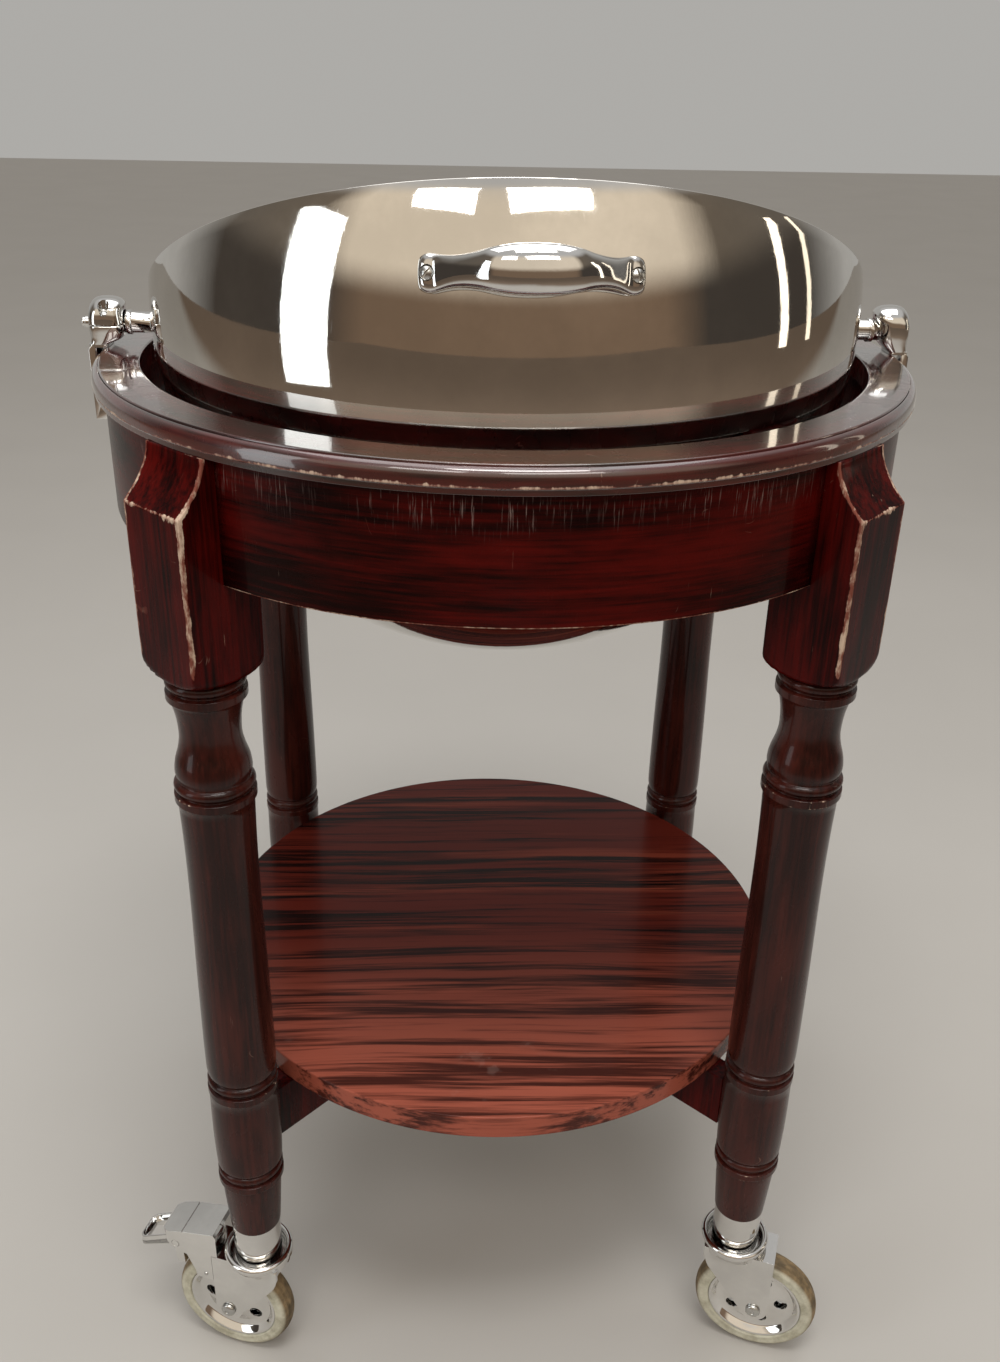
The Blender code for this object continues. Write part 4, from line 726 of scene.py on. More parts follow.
# %% [markdown]
# ## Metals and rubber
# Polished metal is almost all reflection, so what tells one from another is how blurred the reflection is. A broad
# noise stands for the smear of hands and cloths, a fine one for scratches. The tyres are the other way round: dull,
# with dirt in the colour, and a tread that use has browned. Their mesh carries that tread as a point attribute.

# %% Metals
def metal(name, colour, roughness, scratches, scale, stretch=(1, 1, 1)):
    """A metal with a smear of fingerprints and fine scratches."""
    f = Finish(name, {"Metallic": 1.0})
    smear = f.noise(9, (1, 1, 1), 5.0, 0.65)
    fine = f.noise(scale, stretch, 3.0, 0.6)
    darker = tuple(share * 0.82 for share in colour)
    f.feed("Base Color", f.mix(f.rise(smear, 0.35, 0.75), darker, colour))
    f.feed("Roughness", roughness + f.rise(smear, 0.45, 0.8) * 0.06 + f.rise(fine, 0.6, 0.8) * scratches)
    f.bump(fine, 0.05 + scratches * 0.4, 0.0002)
    return f.material


LID_STEEL = metal("lid_steel", (0.86, 0.83, 0.78), 0.035, 0.05, 260, (1, 1, 0.25))
CHROME = metal("bright_chrome", (0.85, 0.84, 0.82), 0.05, 0.05, 380)
SATIN = metal("satin_steel_plain", (0.60, 0.60, 0.58), 0.26, 0.15, 500, (0.06, 1, 1))
BRASS = metal("brass_plain", (0.70, 0.50, 0.22), 0.22, 0.1, 300)
print("four metals")

# %% Grey rubber
WALL_CLEAN, WALL_DIRTY = (0.62, 0.61, 0.50), (0.38, 0.36, 0.27)
TREAD_LIGHT, TREAD_DARK = (0.30, 0.21, 0.11), (0.10, 0.075, 0.045)


def rubber():
    """Tyre rubber: pale grey-green walls and a tread browned by use."""
    f = Finish("tyre_rubber", {"Specular IOR Level": 0.35})
    dirt = f.noise(60, (1, 1, 1), 6.0, 0.7)
    wall = f.mix(f.rise(dirt, 0.35, 0.75), WALL_CLEAN, WALL_DIRTY)
    tread = f.mix(f.rise(dirt, 0.3, 0.7), TREAD_LIGHT, TREAD_DARK)
    f.feed("Base Color", f.mix(f.attribute("tread"), wall, tread))
    f.feed("Roughness", 0.5 + dirt * 0.25)
    f.bump(f.noise(700, (1, 1, 1), 3.0, 0.6), 0.25, 0.0002)
    return f.material


RUBBER = rubber()
print("grey rubber")

# %% [markdown]
# ## The ring
# The ring is a flat board with a separate edge strip bent round it. Both are turned shapes; the step between them
# shows as a fine dark line, so they stay two pieces. The edge strip has a rounded top and a lip below it. Both wear
# along one line, the board at its inner edge and the strip at its widest, so their wear is the distance from it.

# %% Ring board and edge strip
RING_RADIUS = 0.355
RING_INNER = 0.315
RING_TOP = 0.993
RING_BOTTOM = 0.973
STRIP_INNER = 0.349
GAP = 0.0003
STRIP_BODY = RING_RADIUS - 0.0012
STRIP_LIP = RING_BOTTOM + 0.0054
RING_WEAR = 0.0022


def worn_line(thing, radius, height, spared):
    """Wear along a circle of the ring, less a little that is spared."""
    places = points_of(thing.data)
    distance = np.hypot(np.hypot(*places.T[:2]) - radius, places[:, 2] - height)
    worn_near(thing.data, distance + spared, RING_WEAR)


board = [(RING_INNER, RING_BOTTOM), (STRIP_INNER - GAP, RING_BOTTOM), (STRIP_INNER - GAP, RING_TOP, 0.0010)]
board += [(RING_INNER, RING_TOP, 0.0016)]
board = turned("ring_board", eased(board, 0.0008, True), 192, RING_WOOD)
worn_line(board, RING_INNER, RING_TOP, 0.0009)
shown(board, "frame", "mahogany_lacquer", "top_ring")

strip = [(STRIP_INNER, RING_BOTTOM), (STRIP_BODY, RING_BOTTOM, 0.0004), (STRIP_BODY, RING_BOTTOM + 0.0042, 0.0003)]
strip += [(RING_RADIUS, STRIP_LIP, 0.0006), (RING_RADIUS, RING_BOTTOM + 0.0100, 0.0)]
strip += arc((STRIP_INNER, RING_BOTTOM + 0.0100), (0.0060, 0.0085), 15, 78, 7)
strip += [(STRIP_INNER, RING_TOP - 0.0015, 0.0005)]
strip = turned("ring_edge_strip", eased(strip, 0.0005, True), 192, RING_WOOD)
worn_line(strip, RING_RADIUS, STRIP_LIP, 0.0004)
shown(strip, "frame", "mahogany_lacquer", "rim_moulding")
print("ring board and edge strip:", len(board.data.polygons) + len(strip.data.polygons), "faces")

# %% [markdown]
# ## The apron
# Four curved rails close the space under the ring between the legs. Each is a section swept through most of a
# quarter turn. Its ends are cut parallel to the middle of the neighbouring leg's block, so a point near the outside
# sweeps a little less than one near the inside.

# %% Four apron rails
APRON_OUTER = 0.346
APRON_INNER = 0.328
APRON_TOP = RING_BOTTOM - GAP
APRON_LOW = APRON_TOP - 0.098
BLOCK_HALF = 0.034
EIGHTH = math.radians(45)

section = [(APRON_INNER, APRON_LOW), (APRON_OUTER, APRON_LOW), (APRON_OUTER, APRON_TOP), (APRON_INNER, APRON_TOP)]
section = eased(section, 0.0010, True)
limit = EIGHTH - math.asin((BLOCK_HALF + GAP) / APRON_OUTER)
for side, middle in (("front", -90), ("right", 0), ("back", 90), ("left", 180)):
    rail = turned("apron_rail_" + side, section, 48, APRON_WOOD, start=-limit, sweep=2 * limit)
    for vertex in rail.data.vertices:
        x, y, z = vertex.co
        radius, angle = math.hypot(x, y), math.atan2(y, x)
        angle *= (EIGHTH - math.asin((BLOCK_HALF + GAP) / radius)) / limit
        vertex.co = (radius * math.cos(angle), radius * math.sin(angle), z)
    rail.data.transform(Matrix.Rotation(math.radians(middle), 4, "Z"))
    shown(rail, "frame", "mahogany_lacquer", "apron_" + side)
print("four apron rails")

# %% [markdown]
# ## The legs
# A leg starts as a square billet. The upper part stays square, with a cove that brings its outer face in to the
# ring. Below it everything is turned: a bead and its fillet, a waisted neck, a long shaft and a short barrel. The
# square block could be cut with Booleans, but a grid that follows a rule is cleaner: each row is a square whose
# corners are rounded, held inside a circle that shrinks at the foot, as the gouge leaves it.

# %% The turned part of a leg
FOOT_HEIGHT = 0.188
BLOCK_LOW = 0.794
BEADS = {"upper": (0.788, 0.0320), "second": (0.695, 0.0332), "third": (0.379, 0.0320), "lower": (0.266, 0.0308)}
UNDER_BLOCK = 0.004


def bead_line(height, radius):
    """A fillet with a crisp lower edge, a groove and a round bead over it."""
    fillet = radius + 0.0003
    line = [(fillet, height - 0.0142, 0.0009), (fillet, height - 0.0075, 0.0009)]
    line += [(radius - 0.0030, height - 0.0062, 0.0004), (radius - 0.0034, height - 0.0044, 0.0)]
    line += unrounded(arc((radius - 0.0040, height), (0.0040, 0.0044), -70, 70, 9))
    return line + [(radius - 0.0034, height + 0.0046, 0.0)]


# the stretch under each bead: its steps and its points (radius, height over the bead below, or under this one if < 0)
STRETCHES = {
    "third": (5, [(0.0298, 0.0062), (0.0309, 0.012), (0.0318, 0.05), (0.0314, -0.0155)]),
    "second": (6, [(0.0290, 0.0060), (0.0312, 0.0105), (0.0318, 0.030), (0.0312, 0.11), (0.0299, 0.20), (0.0300, -0.06),
                   (0.0311, -0.0155)]),
    "upper": (5, [(0.0298, 0.0062), (0.0312, 0.0125), (0.0300, 0.022), (0.0270, 0.032), (0.0251, 0.042),
                  (0.0250, 0.052), (0.0262, 0.064), (0.0292, 0.0775)]),
}


def turned_leg():
    """Half of a leg's outline, from its foot to its block."""
    low, radius = BEADS["lower"]
    line = [(0, 0.1522), (0.0200, 0.1522), (0.0200, FOOT_HEIGHT), (0.0243, FOOT_HEIGHT, 0.0006)]
    line += unrounded(flowing([(0.0246, 0.192), (0.0262, 0.215), (0.0280, 0.243), (0.0282, low - 0.0162)], 4))
    line += [(0.0286, low - 0.0146, 0.0)] + bead_line(low, radius)
    for bead, (steps, keys) in STRETCHES.items():
        top = BEADS[bead][0]
        keys = [(radius, (low if over > 0 else top) + over) for radius, over in keys]
        line += unrounded(flowing(keys, steps)) + bead_line(*BEADS[bead])
        low = top
    line += [(0.0290, BLOCK_LOW + UNDER_BLOCK), (0.0, BLOCK_LOW + UNDER_BLOCK)]
    return eased(line, 0.0004)


leg_outline = turned_leg()
print("leg outline of", len(leg_outline), "points")

# %% The square block of a leg
BLOCK_TOP = APRON_TOP
COVE_DEPTH = 0.024
COVE_HEIGHT = 0.040
SHOULDER = 0.016
CORNER_POWER = 46
COVE_POWER = 1.8
NECK_RADIUS = 0.0296
SQUARE = 1.0
HOLD_POWER = 70


def block_rows():
    """(height, reach of the outer face, radius of the circle that holds the row; SQUARE doesn't hold it)"""
    span = BLOCK_HALF * math.sqrt(2) - NECK_RADIUS
    rows = []
    for share in (0, 0.06, 0.16, 0.3, 0.44, 0.58, 0.72, 0.86, 1.0):
        angle = math.pi / 2 * share
        height = BLOCK_LOW + SHOULDER * (1 - math.cos(angle))
        rows.append((height, BLOCK_HALF, NECK_RADIUS + span * math.sin(angle)))
    low, high = BLOCK_LOW + SHOULDER, BLOCK_TOP - COVE_HEIGHT
    rows += [(low + (high - low) * share, BLOCK_HALF, SQUARE) for share in (0.15, 0.5, 0.85)]
    cove = [(BLOCK_HALF, BLOCK_TOP - COVE_HEIGHT - 0.01)]
    for step in range(15):
        share = 1 - step / 14
        cove.append((BLOCK_HALF - COVE_DEPTH * (1 - share ** COVE_POWER), BLOCK_TOP - COVE_HEIGHT * share))
    cove = eased(cove, 0.0022, segments=4)
    return rows + [(height, reach, SQUARE) for reach, height in cove]


def block_mesh(name):
    """The square block: rows that are dense near the corners, where the rounding is."""
    stations = [0, 0.25, 0.5, 0.7, 0.82, 0.9, 0.94, 0.965, 0.985, 1.0]
    stations = [-s for s in stations[:0:-1]] + stations[:-1]
    angles = [math.pi / 2 * side + math.atan(station) for side in range(4) for station in stations]
    rows = []
    for height, reach, hold in block_rows():
        row = []
        for angle in angles:
            cos, sin = math.cos(angle), math.sin(angle)
            square = BLOCK_HALF / (abs(cos) ** CORNER_POWER + abs(sin) ** CORNER_POWER) ** (1 / CORNER_POWER)
            radius = (square ** -HOLD_POWER + hold ** -HOLD_POWER) ** (-1 / HOLD_POWER)
            x = -BLOCK_HALF + (radius * cos + BLOCK_HALF) * (reach + BLOCK_HALF) / (2 * BLOCK_HALF)
            row.append((x, radius * sin, height))
        rows.append(row)
    return lofted(name, rows, BLOCK_WOOD)


print("leg block of", len(block_rows()), "rows")

# %% A leg and its wear
CORNER_WEAR = 0.0062
LEDGE_SPARED = 0.0018
TURNED_WEAR = 0.42

turning = turned("leg_turning", leg_outline, 64, TURNED_WOOD)
leg_pattern = joined("leg_pattern", [turning, block_mesh("leg_block")])
mark_wear(leg_pattern.data)
places = points_of(leg_pattern.data)
depth = np.clip((BLOCK_TOP - places[:, 2]) / COVE_HEIGHT, 0, 1)
reach = BLOCK_HALF - COVE_DEPTH * (1 - depth ** COVE_POWER)
corner = np.hypot(reach - places[:, 0], BLOCK_HALF - np.abs(places[:, 1]))
ledge = np.hypot(places[:, 2] - BLOCK_TOP + COVE_HEIGHT, BLOCK_HALF - places[:, 0]) + LEDGE_SPARED
foot = np.clip(BLOCK_LOW + SHOULDER - places[:, 2], 0, 1) * 0.5
wear = np.clip(1 - (np.minimum(corner, ledge) + foot) / CORNER_WEAR, 0, 1)
turned_wear = np.empty(len(wear))
leg_pattern.data.attributes["wear"].data.foreach_get("value", turned_wear)
wear = np.where(places[:, 2] > BLOCK_LOW + 0.0001, wear, turned_wear * TURNED_WEAR)
leg_pattern.data.attributes["wear"].data.foreach_set("value", wear)
print("leg pattern:", len(leg_pattern.data.polygons), "faces")

# %% Four legs in place
LEG_RADIUS = 0.3442
LEG_ANGLES = {"front_right": -45.0, "back_right": 45.0, "back_left": 135.0, "front_left": -135.0}


def leg_place(corner, turn):
    """The frame of a leg's axis on the floor, turned by an angle in degrees."""
    angle = math.radians(LEG_ANGLES[corner])
    spot = Matrix.Translation((LEG_RADIUS * math.cos(angle), LEG_RADIUS * math.sin(angle), 0))
    return spot @ Matrix.Rotation(math.radians(turn), 4, "Z")


for corner, angle in LEG_ANGLES.items():
    leg = placed(leg_pattern, "turned_leg_" + corner, leg_place(corner, angle))
    shown(leg, "frame", "mahogany_lacquer", "leg_" + corner)
discard(leg_pattern)
print("four legs")

# %% [markdown]
# ## The shelf
# The shelf is a disc of board with a printed rosewood laminate on top. It rests on two rails that cross under it and
# are let into the legs. The disc is turned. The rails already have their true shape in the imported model, so each is a
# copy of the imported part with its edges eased, which saves drawing the joints again.

# %% Shelf and rails
SHELF_RADIUS = 0.297
SHELF_TOP = 0.367
SHELF_LOW = 0.343
PACKED_MERGE = 0.00002
FLAT = math.radians(1.5)

shelf = [(0, SHELF_LOW), (SHELF_RADIUS, SHELF_LOW, 0.0012), (SHELF_RADIUS, SHELF_TOP, 0.0016), (0, SHELF_TOP)]
shelf = turned("shelf_disc", eased(shelf, 0.0012), 160, ROSEWOOD)
shown(shelf, "frame", "rosewood_laminate", "shelf")


def eased_copy(name, node, width, finish, segments=2, angle=32):
    """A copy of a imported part, its loose triangles merged into faces and its edges bevelled."""
    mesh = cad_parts[node].data.copy()
    only_finish(mesh, finish)
    thing = linked(name, mesh)
    shape = bmesh.new()
    shape.from_mesh(mesh)
    bmesh.ops.remove_doubles(shape, verts=shape.verts, dist=PACKED_MERGE)
    bmesh.ops.dissolve_limit(shape, angle_limit=FLAT, verts=shape.verts, edges=shape.edges)
    shape.to_mesh(mesh)
    shape.free()
    return bevelled(thing, width, segments, angle)


for level in ("upper", "lower"):
    rail = eased_copy("cross_rail_" + level, "shelf_rail_" + level, 0.0012, BLOCK_WOOD)
    worn_near(rail.data, np.ones(len(rail.data.vertices)), 1)
    shown(rail, "frame", "mahogany_lacquer", "shelf_rail_" + level)
print("shelf and two cross rails")

# %% [markdown]
# ## The side pivots
# Two cast and chromed brackets hook over the ring. The left one is split so that the lid can be taken out, and its
# cap is held down by screws. A casting has no straight lines, so each head is a skin over rounded sections that
# narrow to the crown. At the split the sections are pulled in, which leaves a fine groove between cap and block.

# %% Bracket sizes
PIVOT_HEIGHT = 1.0125
FOOT = RING_TOP + GAP
SPLIT = 0.0006
SPLIT_PULL = 0.92
SPLIT_HALF_GAP = 0.00015
CAP_SCREW_X = -0.3455
CAP_SCREW_Y = 0.0138
STRAP_OUT = 0.3627
STRAP_TAIL = RING_BOTTOM - 0.043
STRAP_HALF = 0.0144

# height over the pivot, inner face, outer face, half depth, squareness
CASTING = [
    (FOOT - PIVOT_HEIGHT, 0.3450, 0.3622, 0.0145, 5.0),
    (FOOT - PIVOT_HEIGHT + 0.0022, 0.3446, 0.3624, 0.0146, 5.0),
    (FOOT - PIVOT_HEIGHT + 0.0030, 0.3436, 0.3610, 0.0148, 4.6),
    (-0.0125, 0.3396, 0.3606, 0.0158, 4.2),
    (-0.0085, 0.3362, 0.3608, 0.0168, 4.0),
    (-0.0040, 0.3346, 0.3611, 0.0178, 3.8),
    (0.0000, 0.3340, 0.3612, 0.0182, 3.6),
    (0.0060, 0.3334, 0.3610, 0.0182, 3.4),
    (0.0110, 0.3310, 0.3604, 0.0172, 3.1),
    (0.0150, 0.3304, 0.3592, 0.0152, 2.8),
    (0.0182, 0.3318, 0.3572, 0.0122, 2.6),
    (0.0204, 0.3348, 0.3546, 0.0086, 2.4),
    (0.0216, 0.3390, 0.3510, 0.0050, 2.2),
    (0.0220, 0.3446, 0.3456, 0.0006, 2.0),
]
# the left head is a little fuller on the inside, at these heights over the pivot
LEFT_INNER = {-0.0125: 0.3345, -0.0085: 0.3318, -0.0040: 0.3306, 0.0000: 0.3303, 0.0060: 0.3308}
print("bracket heads from", len(CASTING), "sections")

# %% Bracket heads
def split_edge(row, edge, step):
    """The rows that end a head at the split, from its face to where the full section starts."""
    centre = sum((Vector(point) for point in row), Vector()) / len(row)
    pulled = [centre + (Vector(point) - centre) * SPLIT_PULL for point in row]
    levels = ((pulled, 0), (pulled, step * 0.98), (row, step))
    return [[(x, y, PIVOT_HEIGHT + edge + over) for x, y, z in points] for points, over in levels]


def casting(name, side, low=-1.0, high=1.0):
    """The cast head on one side (1 right, -1 left), from one height over the pivot to another."""
    keys = CASTING
    if side < 0:
        keys = [(key[0], LEFT_INNER.get(key[0], key[1]), *key[2:]) for key in CASTING]
    rows = []
    for height, inner, outer, half, power in flowing(keys, 4):
        if low <= height <= high:
            middle, reach = (inner + outer) / 2, (outer - inner) / 2
            row = rounded_row(reach, half, power, 48)
            rows.append([(side * (middle + a), b, PIVOT_HEIGHT + height) for a, b in row])
    if low > -1:
        rows = split_edge(rows[0], low, SPLIT) + rows[1:]
    if high < 1:
        rows = rows[:-1] + split_edge(rows[-1], high, -SPLIT)[::-1]
    head = lofted(name, rows, CHROME)
    bore = [(0, 0.32), (0.0108, 0.32), (0.0108, 0.3343), (0.0093, 0.3343), (0.0093, 0.3503), (0.0053, 0.3503)]
    bore += [(0.0053, 0.352), (0, 0.352)] if side > 0 else [(0.0053, 0.37), (0, 0.37)]
    bore = [(radius, side * along) for radius, along in bore]
    return cut(head, turned("bore", bore, 32, CHROME, "X", Matrix.Translation((0, 0, PIVOT_HEIGHT))))


print("the split leaves a groove of", 2 * SPLIT, "m")

# %% Straps and whole brackets
def strap(side):
    """The foot and the strap that hooks over the ring's edge, with its pad against the apron."""
    over, pad = RING_RADIUS + GAP, STRAP_TAIL + 0.015
    outline = [(over, pad), (over, FOOT - 0.0001), (0.3470, FOOT), (0.3470, FOOT + 0.0024)]
    outline += arc((STRAP_OUT - 0.0062, FOOT - 0.0038), 0.0062, 90, 0, 7)
    outline += [(STRAP_OUT, STRAP_TAIL), (APRON_OUTER + GAP, STRAP_TAIL), (APRON_OUTER + GAP, pad)]
    piece = plate("strap", [(side * x, z) for x, z in outline], -STRAP_HALF, STRAP_HALF, "Y", CHROME)
    return bevelled(piece, 0.0009, 3)


left = joined("chrome_bearing_block", [casting("block", -1, high=-SPLIT_HALF_GAP), strap(-1)])
cap = casting("cap", -1, low=SPLIT_HALF_GAP)
well = [(0, -0.03), (0.0031, -0.03), (0.0031, 0.0079), (0.0047, 0.0079), (0.0047, 0.03), (0, 0.03)]
for y in (-CAP_SCREW_Y, CAP_SCREW_Y):
    spot = Matrix.Translation((CAP_SCREW_X, y, PIVOT_HEIGHT))
    cut(cap, turned("well", well, 28, CHROME, place=spot))
cap.name = "chrome_bearing_cap"
right = joined("chrome_pivot_bracket", [casting("head", 1), strap(1)])
shown(crisp(left), "frame", "chrome", "bearing_block")
shown(crisp(cap), "frame", "chrome", "bearing_cap")
shown(crisp(right), "frame", "chrome", "pivot_bracket")
print("brackets:", len(left.data.polygons) + len(cap.data.polygons) + len(right.data.polygons), "faces")

# %% [markdown]
# ## Screws and pins
# A slotted screw is turned from bar and its slot is sawn. One pattern is made for each size, and the setting-out tree
# puts it in place with its slot turned to a listed angle, so no two slots line up. The pins are stepped rods that stay
# still inside the journals; their outer ends show in the brackets.

# %% Slotted screws
def slotted_screw(name, radius, height, shank, length):
    """A domed head with a slot, its seat at the origin, facing Z."""
    head = [(0, -length), (shank, -length), (shank, 0), (radius, 0, 0.0003), (radius, height * 0.35, 0.0006)]
    head += [(radius * share, height * (1 - 0.65 * share ** 2)) for share in (0.8, 0.55, 0.3)] + [(0, height)]
    screw = turned(name, eased(head, 0.0003), 28, SATIN)
    long, narrow = radius * 1.2, radius * 0.15
    return crisp(cut(screw, block("slot", (-long, -narrow, height * 0.45), (long, narrow, height * 2))), 35)


cap_screw = slotted_screw("cap_screw_pattern", 0.0044, 0.0038, 0.0028, 0.0155)
for word, y, turn in (("front", -CAP_SCREW_Y, 0.5), ("back", CAP_SCREW_Y, 2.1)):
    places = [((CAP_SCREW_X, y, PIVOT_HEIGHT + 0.0080), (0, 0, 1), turn)]
    screws = set_out("slotted_cap_screw_" + word, cap_screw, SATIN, places)
    shown(screws, "frame", "satin_steel", "cap_screw_" + word)
discard(cap_screw)
print("two cap screws")

# %% Pins
PIN_RADIUS = 0.0050
PIN_HEAD = 0.0090
PIN_HEAD_LENGTH = 0.0055

spot = Matrix.Translation((0, 0, PIVOT_HEIGHT))
for word, side, end in (("left", -1, 0.3680), ("right", 1, 0.3516)):
    start = min(abs(corner[0]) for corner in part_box("pivot_pin_" + word))
    neck = start + PIN_HEAD_LENGTH
    line = [(0, start), (PIN_HEAD, start, 0.0010), (PIN_HEAD, neck, 0.0010), (PIN_RADIUS, neck, 0.0003)]
    line += [(PIN_RADIUS, end - 0.0030, 0.0004), (0.0043, end - 0.0030, 0.0004), (0.0043, end, 0.0010), (0, end)]
    line = [(point[0], side * point[1], *point[2:]) for point in line]
    pin = turned("turned_pin_" + word, eased(line, 0.0004), 32, CHROME, "X", spot)
    shown(pin, "frame", "chrome", "pivot_pin_" + word)
print("two pins")

# %% [markdown]
# ## The lid
# The lid is spun from one sheet of steel. It is a turned shell: the outside of a half sphere, a rounded rim, and the
# inside. A UV sphere cut in half would need a Solidify modifier, and its edge would be square. The shell is drawn
# about its own axis and then tipped back about the pivots, wide open, as the photograph shows it.

# %% Lid shell
LID_RADIUS = 0.3046
LID_OFFSET = 0.0177
LID_THICKNESS = 0.0012
LID_OPEN = 154.5
LID_PLACE = Matrix.Translation((0, 0, PIVOT_HEIGHT)) @ Matrix.Rotation(math.radians(LID_OPEN), 4, "X")
ARC_STEPS = 56

outside = arc((0, 0), LID_RADIUS, 90, 0.1, ARC_STEPS)
inside = arc((0, 0), LID_RADIUS - LID_THICKNESS, 0.1, 90, ARC_STEPS)
outside[0], inside[-1] = (0, LID_RADIUS), (0, LID_RADIUS - LID_THICKNESS)
rim = [(LID_RADIUS - 0.0001, 0.0001), (LID_RADIUS - 0.0006, 0.0), (LID_RADIUS - LID_THICKNESS + 0.0001, 0.0001)]
dome = Matrix.Translation((0, 0, -LID_OFFSET))
lid = turned("lid_dome", outside + rim + inside, 160, LID_STEEL, place=LID_PLACE @ dome)
shown(lid, "lid", "polished_steel", "lid_shell")
print("lid:", len(lid.data.polygons), "faces")

# %% [markdown]
# ## What turns with the lid
# Two hinge plates are screwed to the shell, and a hollow journal on each runs in its bracket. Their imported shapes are
# right, so they only get eased edges. Each plate's screw faces straight out of the sphere, and the tree aims it there.

# %% Hinge plates, journals and their screws
for node in ("hinge_plate_left", "hinge_plate_right", "lid_journal_left", "lid_journal_right"):
    piece = eased_copy("chrome_" + node, node, 0.0006, CHROME, 2, 38)
    shown(piece, "lid", "chrome", node)
plate_screw = slotted_screw("plate_screw_pattern", 0.0040, 0.0021, 0.0019, 0.0030)
places = []
flat = LID_OFFSET + 0.0295
for side in (-1, 1):
    way = Vector((side * math.sqrt(1 - (flat / LID_RADIUS) ** 2), 0, flat / LID_RADIUS))
    spot = LID_PLACE @ (Vector((0, 0, -LID_OFFSET)) + way * (LID_RADIUS + 0.0034))
    places.append((spot, LID_PLACE.to_3x3() @ way, 0.9 * side))
screws = set_out("slotted_plate_screws", plate_screw, SATIN, places)
shown(screws, "lid", "satin_steel", "plate_screw_left", "plate_screw_right")
discard(plate_screw)
print("hinge plates, journals and their screws")

# %% [markdown]
# ## The handle
# The handle is one casting: a lobe at each end that is screwed to the lid, two necks, and a grip that swells in the
# middle and stands clear for the fingers. A curve with a bevel would keep one section all along, so it is lofted: a
# row of rounded sections along the handle, whose height, depth and distance from the lid follow smooth curves.

# %% Handle sections
HANDLE_LENGTH = 0.148
HANDLE_LEAN = math.radians(11.5)


def handle_frame(across):
    """A spot on the lid under the handle: X along it, Y up the lid, Z out of the sphere."""
    swing = math.asin(across / LID_RADIUS)
    lean = HANDLE_LEAN
    out = Vector((math.sin(swing), math.cos(swing) * math.cos(lean), math.cos(swing) * math.sin(lean)))
    up = Vector((0, -math.sin(lean), math.cos(lean)))
    along = up.cross(out)
    turn = Matrix((along, up, out)).transposed().to_4x4()
    return LID_PLACE @ Matrix.Translation(Vector((0, 0, -LID_OFFSET)) + out * LID_RADIUS) @ turn


# reach along the handle, half height, half depth, distance of its middle from the lid, squareness
HANDLE_KEYS = [
    (1.010, 0.0040, 0.0030, 0.0040, 2.2),
    (1.005, 0.0074, 0.0047, 0.0046, 2.3),
    (0.988, 0.0101, 0.0059, 0.0053, 2.6),
    (0.955, 0.0117, 0.0062, 0.0058, 3.0),
    (0.915, 0.0125, 0.0063, 0.0060, 3.2),
    (0.870, 0.0123, 0.0064, 0.0064, 3.2),
    (0.820, 0.0114, 0.0066, 0.0084, 3.0),
    (0.740, 0.0103, 0.0068, 0.0132, 2.6),
    (0.640, 0.0100, 0.0070, 0.0196, 2.3),
    (0.520, 0.0110, 0.0076, 0.0262, 2.2),
    (0.380, 0.0134, 0.0086, 0.0320, 2.2),
    (0.200, 0.0154, 0.0093, 0.0352, 2.2),
    (0.000, 0.0160, 0.0095, 0.0362, 2.2),
]
HANDLE_SCREW_REACH = 0.0666
LOBE = 0.0062
GRIP_RISE = 0.0303


def handle_height(along, out):
    """Height over the tangent plane: the lobes follow the lid's curve and the grip doesn't."""
    fall = LID_RADIUS - math.sqrt(LID_RADIUS ** 2 - along ** 2)
    return out - fall * (1 - min(max((out - LOBE) / GRIP_RISE, 0), 1))


print("handle of", len(HANDLE_KEYS), "sections on each side")

# %% Cast handle
def handle_casting():
    line = flowing([Vector(key) for key in HANDLE_KEYS], 5)
    line = [(-key[0], *key[1:]) for key in line[:-1]] + line[::-1]
    place = handle_frame(0)
    rows = []
    for reach, tall, deep, out, power in line:
        along = reach * HANDLE_LENGTH / 2
        middle = handle_height(along, out)
        rows.append([place @ Vector((along, a, middle + b)) for a, b in rounded_row(tall, deep, power, 40)])
    return lofted("bow_handle", rows, CHROME)


handle = handle_casting()
well = [(0, 0.0100), (0.0048, 0.0100, 0.0006), (0.0054, 0.0118, 0.0006), (0.0054, 0.0160), (0, 0.0160)]
for side in (-1, 1):
    spot = handle_frame(side * HANDLE_SCREW_REACH)
    cut(handle, turned("well", eased(well, 0.0004), 32, CHROME, place=spot))
shown(crisp(handle, 42), "lid", "chrome", "lid_handle")

handle_screw = slotted_screw("handle_screw_pattern", 0.0044, 0.0030, 0.0023, 0.0110)
places = []
for side, turn in ((-1, 0.75), (1, 2.0)):
    spot = handle_frame(side * HANDLE_SCREW_REACH)
    places.append((spot @ Vector((0, 0, 0.0101)), spot.to_3x3() @ Vector((0, 0, 1)), turn))
screws = set_out("slotted_handle_screws", handle_screw, SATIN, places)
shown(screws, "lid", "satin_steel", "handle_screw_left", "handle_screw_right")
discard(handle_screw)
print("handle:", len(handle.data.polygons), "faces")

# %% [markdown]
# ## Inside the ring
# Under the lid hangs a pan for hot water, with a loose carving deck over it and a small burner below. They are
# hidden in the photograph's view but not from above, from the back or from below. Pan and deck are spun and pressed
# from sheet, so they are turned outlines with both faces of the sheet drawn; hangers, cradle and burner are copies.

